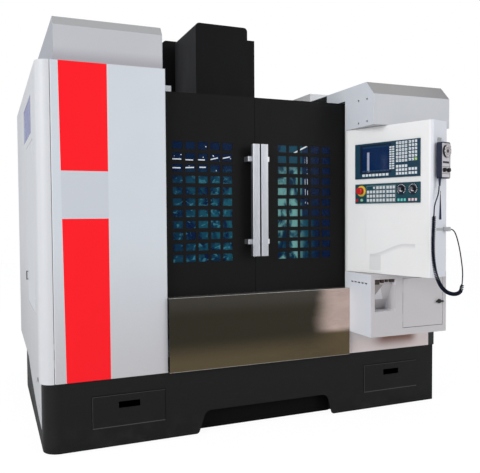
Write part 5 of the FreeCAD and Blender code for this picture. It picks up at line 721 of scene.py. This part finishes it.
# %% Finishes in the console's own layout
class ConsoleFinish(Finish):
    """A finish whose masks are drawn in the console's own layout, in millimetres."""

    def __init__(self, name, colour, roughness, gloss=0.3):
        super().__init__(name, colour, roughness, gloss=gloss)
        corner = console_spot(0, 0, 0)
        x, y = self.x - corner.x, self.y - corner.y
        self.along = (x * along_face.x + y * along_face.y) * 1000.0
        self.into = (x * into_face.x + y * into_face.y) * 1000.0
        self.height = self.z * 1000.0

    def patch(self, span, heights, across=None):
        """1 inside a rectangle, seen square on; it is drawn on the face unless told otherwise."""
        return (across or self.along).between(*span) * self.height.between(*heights)

    def distance(self, across, middle_across, middle_z):
        """How far a point lies from a middle, seen square on."""
        sideways, upwards = across - middle_across, self.height - middle_z
        return (sideways * sideways + upwards * upwards).power(0.5)

    def angle(self, across, middle_across, middle_z):
        """The clock angle round a middle, from -pi to pi, 0 straight up."""
        return (across - middle_across).arctan(self.height - middle_z)

    def dial(self, across, middle, radii, marks, sweep, colour):
        """A ring of tick marks: how many there are in a sweep, in degrees, centred on the top."""
        turned = self.angle(across, *middle)
        half = math.radians(sweep / 2)
        pitch = 2 * half / marks
        tick = (turned + half + pitch / 2).repeat(pitch).between(pitch * 0.36, pitch * 0.64)
        ring = self.distance(across, *middle).between(*radii)
        self.paint(colour, ring * tick * abs(turned).below(half + pitch * 0.2))


# %% [markdown]
# The display unit: a dark teal front with pale keys, and a screen that glows blue with rows of
# small marks, a pale list down its left side and a row of soft-key captions along its foot. The
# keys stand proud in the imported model, so what lies before the plate is painted as a key. The
# screen shines by itself, so its picture goes into the emission and not into the paint.

# %% Display unit
KEY_FACE = -10.3
KEYS_LEFT, KEYS_HEAD = 386.4, 1789.9
SCREEN_SPAN, SCREEN_HEIGHTS = (124.0, 339.0), (1611.0, 1774.0)
display = ConsoleFinish("display_front", (0.006, 0.042, 0.075), 0.4)
on_screen = display.patch(SCREEN_SPAN, SCREEN_HEIGHTS) * display.into.above(-8.0)
display.even_grain(0.4 - on_screen * 0.3)
display.paint((0.004, 0.028, 0.055), display.noise(30.0, 3.0).ramp(0.3, 0.8) * 0.5)
display.paint((0.002, 0.010, 0.030), display.patch((110.0, 353.0), (1601.0, 1784.0)))
proud = display.into.below(KEY_FACE)
display.paint((0.66, 0.72, 0.75), proud)
display.paint((0.42, 0.66, 0.20), proud * display.patch((518.0, 545.0), (1664.0, 1682.0)))
across_key = (display.along - KEYS_LEFT).repeat(21.3)
down_key = (KEYS_HEAD - display.height).repeat(21.8)
legend = across_key.between(6.5, 14.5) * down_key.between(9.2, 12.0)
display.paint((0.03, 0.03, 0.035), proud * legend * display.along.above(386.0))

# %% The picture on the screen
ROW_PITCH = 8.6
up_screen = display.height - SCREEN_HEIGHTS[0]
text_rows = up_screen.repeat(ROW_PITCH).between(3.0, 6.6)
row_place = display.node("ShaderNodeCombineXYZ", values={
    "X": display.along, "Y": up_screen.whole(ROW_PITCH) * 40.0})
columns = display.node("ShaderNodeTexNoise", {"noise_dimensions": "2D"}, {
    "Vector": row_place, "Scale": 0.33, "Detail": 0.0})
marks = text_rows * columns.above(0.52)
soft_caption = (display.along - SCREEN_SPAN[0]).repeat(26.9).between(2.0, 24.9)
glow = display.blend((0.0, 0.0, 0.0), (0.0015, 0.010, 0.052), on_screen)
for shade, mask in (
        ((0.004, 0.024, 0.085), marks * display.patch((196.0, 330.0), (1632.0, 1762.0))),
        ((0.36, 0.40, 0.50), display.patch((163.0, 181.0), (1612.0, 1738.0))),
        ((0.16, 0.18, 0.30), text_rows * display.patch((166.0, 169.0), (1622.0, 1738.0))),
        ((0.006, 0.030, 0.075), display.patch(SCREEN_SPAN, (1764.0, 1774.0))),
        ((0.03, 0.06, 0.11), soft_caption * display.patch(SCREEN_SPAN, (1613.0, 1622.0)))):
    glow = display.blend(glow, shade, on_screen * mask)
display.feed("Emission Color", glow)
display.shader.inputs["Emission Strength"].default_value = 0.9
display.paint((0.002, 0.008, 0.02), on_screen)
dress(display, "display_unit")
print("screen rows:", int((SCREEN_HEIGHTS[1] - SCREEN_HEIGHTS[0]) / ROW_PITCH))

# %% [markdown]
# The operation panel: the same teal front, white keys, a yellow collar round the emergency stop and
# white scales round the two override knobs. Only what is generic is drawn, so keys stay unlettered.
# A scale could be a ring of small pieces, but on the real panel it is printed, so one helper folds
# the angle round a middle into ticks.

# %% Operation panel
PANEL_KEY_FACE = -9.2
STOP_MIDDLE = (122.0, 1492.0)
KNOB_MIDDLES = ((425.0, 1495.0), (507.0, 1495.0))
controls = ConsoleFinish("panel_front", (0.004, 0.055, 0.075), 0.4)
controls.even_grain(0.4)
controls.paint((0.003, 0.040, 0.056), controls.noise(30.0, 3.0).ramp(0.3, 0.8) * 0.5)
raised = controls.into.below(PANEL_KEY_FACE)
controls.paint((0.60, 0.64, 0.66), raised * controls.along.between(165.0, 395.0))
controls.paint((0.16, 0.58, 0.52), raised * controls.patch((398.0, 462.0), (1420.0, 1440.0)))
controls.paint((0.74, 0.56, 0.60), raised * controls.patch((476.0, 540.0), (1420.0, 1440.0)))
stop_radius = controls.distance(controls.along, *STOP_MIDDLE)
controls.paint((0.76, 0.54, 0.08), raised * stop_radius.below(35.0))
controls.paint((0.10, 0.14, 0.02), stop_radius.between(34.0, 38.0))
for middle in KNOB_MIDDLES:
    around = controls.distance(controls.along, *middle)
    controls.paint((0.002, 0.012, 0.030), around.below(36.0))
    controls.dial(controls.along, middle, (25.0, 31.5), 14, 280, (0.85, 0.88, 0.9))
for low, high in ((165.0, 234.0), (239.0, 309.0), (316.0, 384.0)):
    border = controls.patch((low - 1.0, high + 1.0), (1418.0, 1523.0))
    border = border - controls.patch((low, high), (1419.2, 1521.8))
    controls.paint((0.45, 0.52, 0.54), border * controls.into.above(PANEL_KEY_FACE))
dress(controls, "operation_panel")

# %% [markdown]
# The console's box is white, with painted shade on its end, which has a slit with a dark painted
# shade along it that widens downwards. A shallow wave is pressed into its face below the panels. It
# is about a millimetre deep, too little to show in outline, so it isn't cut: the bump raises it,
# and painted shade marks its edge and a patch at its foot.

# %% Console box
CONSOLE_WHITE = (0.85, 0.85, 0.84)
SLIT_MIDDLE = 91.0
SLIT_HEAD, SLIT_FOOT = 1480.0, 1308.0
console_coat = ConsoleFinish("console_white", CONSOLE_WHITE, 0.4, gloss=0.35)
cloud = console_coat.noise(1.7, 4.0).ramp(0.35, 0.75)
console_coat.paint(darker(CONSOLE_WHITE, 0.94), cloud * 0.6)
# painted shade on the end face
end_face = console_coat.along.above(CONSOLE_WIDTH - 12.0)
console_coat.paint((0.70, 0.71, 0.76), end_face * 0.9)
# painted shade along the slit, widening downwards
slit_spread = (SLIT_HEAD - console_coat.height) * 0.07 + 2.43
slit_shade = abs(console_coat.into - SLIT_MIDDLE).below(slit_spread)
slit_shade = slit_shade * console_coat.height.between(SLIT_FOOT, SLIT_HEAD)
console_coat.paint((0.012, 0.014, 0.060), end_face * slit_shade)
# painted shade below the wave's edge and on a patch at its foot
wave = 1087.0 + (console_coat.along - 190.0).ramp(0.0, 260.0) * 72.0
over_wave = console_coat.height - wave
relief = over_wave.ramp(-6.0, 6.0) * console_coat.patch((150.0, 600.0), (1000.0, 1300.0))
wave_shade = over_wave.ramp(-34.0, 0.0) * over_wave.below(0.0)
wave_shade = wave_shade * console_coat.patch((185.0, 520.0), (1000.0, 1180.0))
console_coat.paint((0.52, 0.53, 0.54), wave_shade * 0.55)
wave_foot_shade = console_coat.patch((180.0, 268.0), (985.0, 1082.0))
console_coat.paint((0.62, 0.63, 0.64), wave_foot_shade * 0.5)
console_coat.feed("Roughness", 0.4 + (console_coat.noise(9.0, 3.0) - 0.5) * 0.12)
console_coat.bump(console_coat.noise(520.0, 1.0) * 0.1 + relief, 0.0012, 0.6)
dress(console_coat, "console_box")

# %% [markdown]
# The override knobs have a grey cap with a white pointer, a print that turns with the knob. The
# pendant is a dark box with a pale front sheet, on which its black selectors stand out. The sheet
# could be a piece of its own, but it is far thinner than a millimetre, so it too is a mask.

# %% Override knobs and pendant body
knob_cap = ConsoleFinish("knob_cap", (0.010, 0.011, 0.014), 0.35)
knob_cap.even_grain(0.35)
for middle in KNOB_MIDDLES:
    cap_radius = knob_cap.distance(knob_cap.along, *middle)
    knob_cap.paint((0.14, 0.15, 0.17), cap_radius.below(12.0))
    pointing = abs(knob_cap.angle(knob_cap.along, *middle) - 2.6).below(0.28)
    knob_cap.paint((0.80, 0.80, 0.82), pointing * cap_radius.between(9.0, 18.0))
dress(knob_cap, "feed_override_knob", "spindle_override_knob")

PENDANT_FRONT = CONSOLE_WIDTH + 44.5
PENDANT_INK = (0.02, 0.02, 0.03)
SELECTOR_MIDDLES = (51.0, 97.0)
pendant_skin = ConsoleFinish("pendant_skin", (0.010, 0.016, 0.040), 0.45)
pendant_skin.even_grain(0.45)
across = pendant_skin.into
sheet = pendant_skin.along.above(PENDANT_FRONT) * across.between(32.0, 116.0)
pendant_skin.paint((0.60, 0.57, 0.59), sheet * pendant_skin.height.between(1558.0, 1758.0))
for middle in SELECTOR_MIDDLES:
    outer = pendant_skin.patch((middle - 21.0, middle + 21.0), (1578.0, 1622.0), across)
    inner = pendant_skin.patch((middle - 19.0, middle + 19.0), (1580.0, 1620.0), across)
    pendant_skin.paint(PENDANT_INK, sheet * (outer - inner))
pendant_skin.paint(PENDANT_INK, sheet * pendant_skin.patch((40.0, 108.0), (1640.0, 1652.0), across))
dress(pendant_skin, "pendant_body")

# %% [markdown]
# The pendant's handwheel has a pale middle, and round it a white ring with a hundred divisions. A
# hundred cut marks would be finer than a pixel, so the same helper prints them as it prints a
# scale, with every tenth one longer.

# %% Handwheel
WHEEL_MIDDLE = (74.0, 1711.0)
WHEEL_INK = (0.03, 0.03, 0.03)
wheel = ConsoleFinish("handwheel", (0.014, 0.014, 0.015), 0.4, gloss=0.35)
wheel_radius = wheel.distance(wheel.into, *WHEEL_MIDDLE)
wheel.paint((0.46, 0.40, 0.41), wheel_radius.between(11.0, 24.0))
wheel.paint((0.74, 0.72, 0.73), wheel_radius.between(26.0, 35.5))
wheel.dial(wheel.into, WHEEL_MIDDLE, (31.0, 35.5), 100, 360, WHEEL_INK)
wheel.dial(wheel.into, WHEEL_MIDDLE, (28.0, 35.5), 10, 360, WHEEL_INK)
wheel.even_grain(0.4, 1200.0)
dress(wheel, "pendant_wheel")

# %% [markdown]
# Small fittings that are not worth a solid of their own in the imported model: screws, plates, dark
# strips that stand for shade in gaps and a light bead that stands for a highlight. They could come
# from the Add menu, but each would then have to be moved and its place applied. Each is one bmesh
# instead, made in place from blocks and discs, and rides on the body that it is fixed to.


# %% Small fittings
def sort_by_place(parts):
    """Sorts a bmesh's corners, edges or faces: insets and extrusions shuffle them in every run."""
    def middle(part):
        corners = getattr(part, "verts", (part,))
        return tuple(sum(corner.co[axis] for corner in corners) / len(corners) for axis in range(3))
    ranks = {part: rank for rank, part in enumerate(sorted(parts, key=middle))}
    parts.sort(key=ranks.get)


def fitting(name, body, finish, made):
    """Turns a bmesh into a named piece that rides on a body and takes a finish."""
    bmesh.ops.recalc_face_normals(made, faces=made.faces)
    for parts in (made.verts, made.edges, made.faces):
        sort_by_place(parts)
    mesh = bpy.data.meshes.new(name)
    made.to_mesh(mesh)
    made.free()
    piece = bpy.data.objects.new(name, mesh)
    bpy.context.scene.collection.objects.link(piece)
    piece.data.materials.append(finish.material)
    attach(piece, body)
    print(name, "faces", len(mesh.polygons))


def add_block(made, low, high, bevel):
    """Adds a block between two corners, with its edges rounded."""
    place = Matrix.Translation((low + high) / 2) @ Matrix.Diagonal((*(high - low), 1.0))
    corners = bmesh.ops.create_cube(made, size=1.0, matrix=place)["verts"]
    edges = list({edge for corner in corners for edge in corner.link_edges})
    bmesh.ops.bevel(made, geom=edges, offset=bevel, segments=2, profile=0.5, affect="EDGES",
                    material=-1)


def corners_in(items):
    """The corners among mixed parts of a bmesh."""
    return [item for item in items if isinstance(item, bmesh.types.BMVert)]


def add_screw(made, foot, way, radius, height):
    """Adds a socket-head screw: a disc with a tapered rim and a socket sunk in its top."""
    turn = Vector((0, 0, 1)).rotation_difference(way).to_matrix().to_4x4()
    place = Matrix.Translation(foot + way * height / 2) @ turn
    ring = bmesh.ops.create_cone(made, cap_ends=True, segments=24, radius1=radius,
                                 radius2=radius * 0.92, depth=height, matrix=place)["verts"]
    faces = {face for corner in ring for face in corner.link_faces}
    top = max(faces, key=lambda face: face.calc_center_median().dot(way))
    bmesh.ops.inset_region(made, faces=[top], thickness=radius * 0.48)
    sunk = corners_in(bmesh.ops.extrude_face_region(made, geom=[top])["geom"])
    bmesh.ops.delete(made, geom=[top], context="FACES_ONLY")
    bmesh.ops.translate(made, verts=sunk, vec=-way * height * 0.6)


# %% Screws on the upper housing's side
LEFT = Vector((-1, 0, 0))
screw_steel = brushed("screw_steel", (0.42, 0.42, 0.44), 0.3, (1.0, 1.0, 1.0))
housing_screws = bmesh.new()
for y, z in ((-133, 2070), (-229, 2067), (-134, 1926), (-229, 1928)):
    add_screw(housing_screws, spot(622.0, y, z), LEFT, 0.006, 0.0035)
fitting("housing_screws", "machine", screw_steel, housing_screws)

# %% [markdown]
# Sheet metal never closes quite tight, and the gaps are dark inside. Black strips behind the
# drawers' gaps and a black plate that closes the base beside the coolant tank stand for that shade,
# and a light bead in the seam between the left tower's front panel and its side wall stands for the
# highlight along its edge. Painted lines could stand for them, but a real strip behind a real gap
# stays right from every side, so each is a block with rounded edges.

# %% Shade strips of the base and a highlight bead on the tower
SHADE_STRIP_WIDTH = 14.0
SHADE_STRIP_FRONT, SHADE_STRIP_BACK = 12.5, 60.0
# black strips behind the drawers' gaps: dark pieces that stand for the shade inside
shade_black = moulded("shade_black", (0.008, 0.008, 0.008), 0.6, gloss=0.2)
drawer_gap_shade = bmesh.new()
for low, high in DRAWER_SPANS:
    for left, right, foot, head in ((low - SHADE_STRIP_WIDTH, low, DRAWER_FOOT, DRAWER_HEAD),
                                    (high, high + SHADE_STRIP_WIDTH, DRAWER_FOOT, DRAWER_HEAD),
                                    (low, high, DRAWER_HEAD + 0.4, DRAWER_HEAD + 11.0)):
        add_block(drawer_gap_shade, spot(left, SHADE_STRIP_FRONT, foot), spot(right, SHADE_STRIP_BACK, head), 0.001)
fitting("drawer_gap_shade", "machine", shade_black, drawer_gap_shade)
# a black plate that stands for the shade beside the coolant tank
tank_gap_shade = bmesh.new()
add_block(tank_gap_shade, spot(516.0, 86.0, 12.0), spot(640.0, 89.0, 228.0), 0.001)
fitting("tank_gap_shade", "machine", shade_black, tank_gap_shade)
# a light bead that stands for the highlight along the seam's edge
highlight_white = moulded("highlight_white", (0.80, 0.81, 0.82), 0.5)
seam_highlight = bmesh.new()
add_block(seam_highlight, spot(-1271.7, 0.8, 408.0), spot(-1268.3, 3.0, 2196.0), 0.0008)
fitting("seam_highlight", "machine", highlight_white, seam_highlight)

# %% [markdown]
# A guard of light sheet hangs over the base's left side, with a long curved lower edge. It could be
# bent out of a block, but the real one is cut from flat sheet, so it starts as the outline of its
# blank, and that one face is extruded by the sheet's thickness.

# %% Guard on the base's left side
GUARD_OUTLINE = ((130.0, 402.0), (1440.0, 402.0), (1400.0, 345.0), (1250.0, 300.0),
                 (1010.0, 232.0), (760.0, 186.0), (520.0, 150.0), (310.0, 128.0), (130.0, 122.0))
GUARD_INSIDE = -1335.6
GUARD_SHEET = 2.0
side_guard = bmesh.new()
corners = [side_guard.verts.new(spot(GUARD_INSIDE, y, z)) for y, z in GUARD_OUTLINE]
risen = bmesh.ops.extrude_face_region(side_guard, geom=[side_guard.faces.new(corners)])["geom"]
bmesh.ops.translate(side_guard, verts=corners_in(risen), vec=(-GUARD_SHEET / 1000, 0, 0))
add_screw(side_guard, spot(GUARD_INSIDE - GUARD_SHEET, 250.0, 226.0), LEFT, 0.011, 0.004)
guard_grey = powder_coat("guard_grey", (0.52, 0.53, 0.54))
fitting("side_guard", "machine", guard_grey, side_guard)

# %% [markdown]
# A row of small sockets sits under the head of the niche; their dark brown also stands for the deep
# shade under the niche's lip. The plate behind the main switch is held by four small screws. A hole
# could be cut in each socket with a Boolean, but sinking the middle of its front face gives the
# same step with four more faces and no stray edges.

# %% Sockets in the niche, and the plate of the main switch
SOCKET_FRONT, SOCKET_BACK = -270.0, -252.0
SOCKET_HEAD = 926.0
niche_sockets = bmesh.new()
for left, right, foot in ((653.0, 688.0, 896.0), (701.0, 722.0, 905.0), (738.0, 752.0, 909.0),
                          (768.0, 799.0, 908.0)):
    low, high = spot(left, SOCKET_FRONT, foot), spot(right, SOCKET_BACK, SOCKET_HEAD)
    add_block(niche_sockets, low, high, 0.0012)
    middle = spot((left + right) / 2, SOCKET_FRONT, (foot + SOCKET_HEAD) / 2)
    front = min(niche_sockets.faces, key=lambda face: (face.calc_center_median() - middle).length)
    bmesh.ops.inset_region(niche_sockets, faces=[front], thickness=0.0025, depth=-0.003)
# the sockets' dark brown also stands for the deep shade under the niche's lip
socket_brown = moulded("socket_brown", (0.045, 0.022, 0.016), 0.45)
fitting("niche_sockets", "machine", socket_brown, niche_sockets)
BACK = Vector((0, 1, 0))
switch_plate = bmesh.new()
add_block(switch_plate, spot(-282.0, 2240.3, 1458.0), spot(-198.0, 2242.3, 1542.0), 0.0009)
for x in (-273.0, -207.0):
    for z in (1467.0, 1533.0):
        add_screw(switch_plate, spot(x, 2242.3, z), BACK, 0.0035, 0.0018)
plate_grey = moulded("plate_grey", (0.30, 0.31, 0.32), 0.45)
fitting("switch_plate", "cabinet_door", plate_grey, switch_plate)

# %% [markdown]
# The studio: a pale floor that keeps a faint shadow, white all round, and broad soft lamps at a
# level that shows each colour about as it is written. More light could turn the floor white, but
# the pale covers would burn out first. So the floor and the world are bright by themselves where
# the camera sees them, and light the machine only as a plain pale room would.


# %% Floor and backdrop
def seen_or_lit(tree, seen, lit, output, share=1.0):
    """Joins a shader that is seen straight or through a pane with one for all other light."""
    straight, through = (add_node(tree, "ShaderNodeLightPath", output=ray)
                         for ray in ("Is Camera Ray", "Is Transmission Ray"))
    factor = straight.sum_node("MAXIMUM", straight, through) * share
    mixed = add_node(tree, "ShaderNodeMixShader", values={0: factor, 1: lit, 2: seen})
    add_node(tree, output, values={"Surface": mixed})


FLOOR_HALF = 14.0
floor_mesh = bpy.data.meshes.new("studio_floor")
grown = bmesh.new()
bmesh.ops.create_grid(grown, x_segments=1, y_segments=1, size=FLOOR_HALF)
grown.to_mesh(floor_mesh)
grown.free()
floor = bpy.data.objects.new("studio_floor", floor_mesh)
bpy.context.scene.collection.objects.link(floor)
floor_finish = bpy.data.materials.new("studio_floor")
floor_finish.use_nodes = True
floor_tree = floor_finish.node_tree
floor_tree.nodes.clear()
matt = add_node(floor_tree, "ShaderNodeBsdfDiffuse", values={"Color": (0.86, 0.86, 0.86, 1.0)})
bright = add_node(floor_tree, "ShaderNodeEmission", values={"Strength": 1.05})
seen_or_lit(floor_tree, bright, matt, "ShaderNodeOutputMaterial", share=0.9)
floor.data.materials.append(floor_finish)
print("floor of", 2 * FLOOR_HALF, "m")

# %% World and lamps
world = bpy.data.worlds.new("studio_world")
bpy.context.scene.world = world
world.use_nodes = True
sky_tree = world.node_tree
sky_tree.nodes.clear()
ROOM_LIGHT = {"Color": (0.93, 0.95, 1.0, 1.0), "Strength": 0.55}
PLAIN_WHITE = {"Color": (1.0, 1.0, 1.0, 1.0), "Strength": 1.0}
room, white = (add_node(sky_tree, "ShaderNodeBackground", values=light)
               for light in (ROOM_LIGHT, PLAIN_WHITE))
seen_or_lit(sky_tree, white, room, "ShaderNodeOutputWorld")


def lamp(name, place, target, size, power):
    """A square soft lamp that points at a target."""
    data = bpy.data.lights.new(name, "AREA")
    data.size = size
    data.energy = power
    made = bpy.data.objects.new(name, data)
    bpy.context.scene.collection.objects.link(made)
    made.location = place
    made.rotation_euler = (Vector(target) - Vector(place)).to_track_quat("-Z", "Y").to_euler()
    print(name, "of", power, "W")


lamp("key_lamp", (-10.5, -6.0, 5.0), (0.0, 0.0, 1.2), 5.5, 720.0)
lamp("fill_lamp", (4.0, -6.5, 3.2), (0.3, -0.3, 1.2), 3.5, 120.0)
lamp("top_lamp", (0.0, 0.5, 6.5), (0.0, 0.2, 0.0), 4.5, 60.0)
scene = bpy.context.scene
scene.view_settings.view_transform = "Standard"
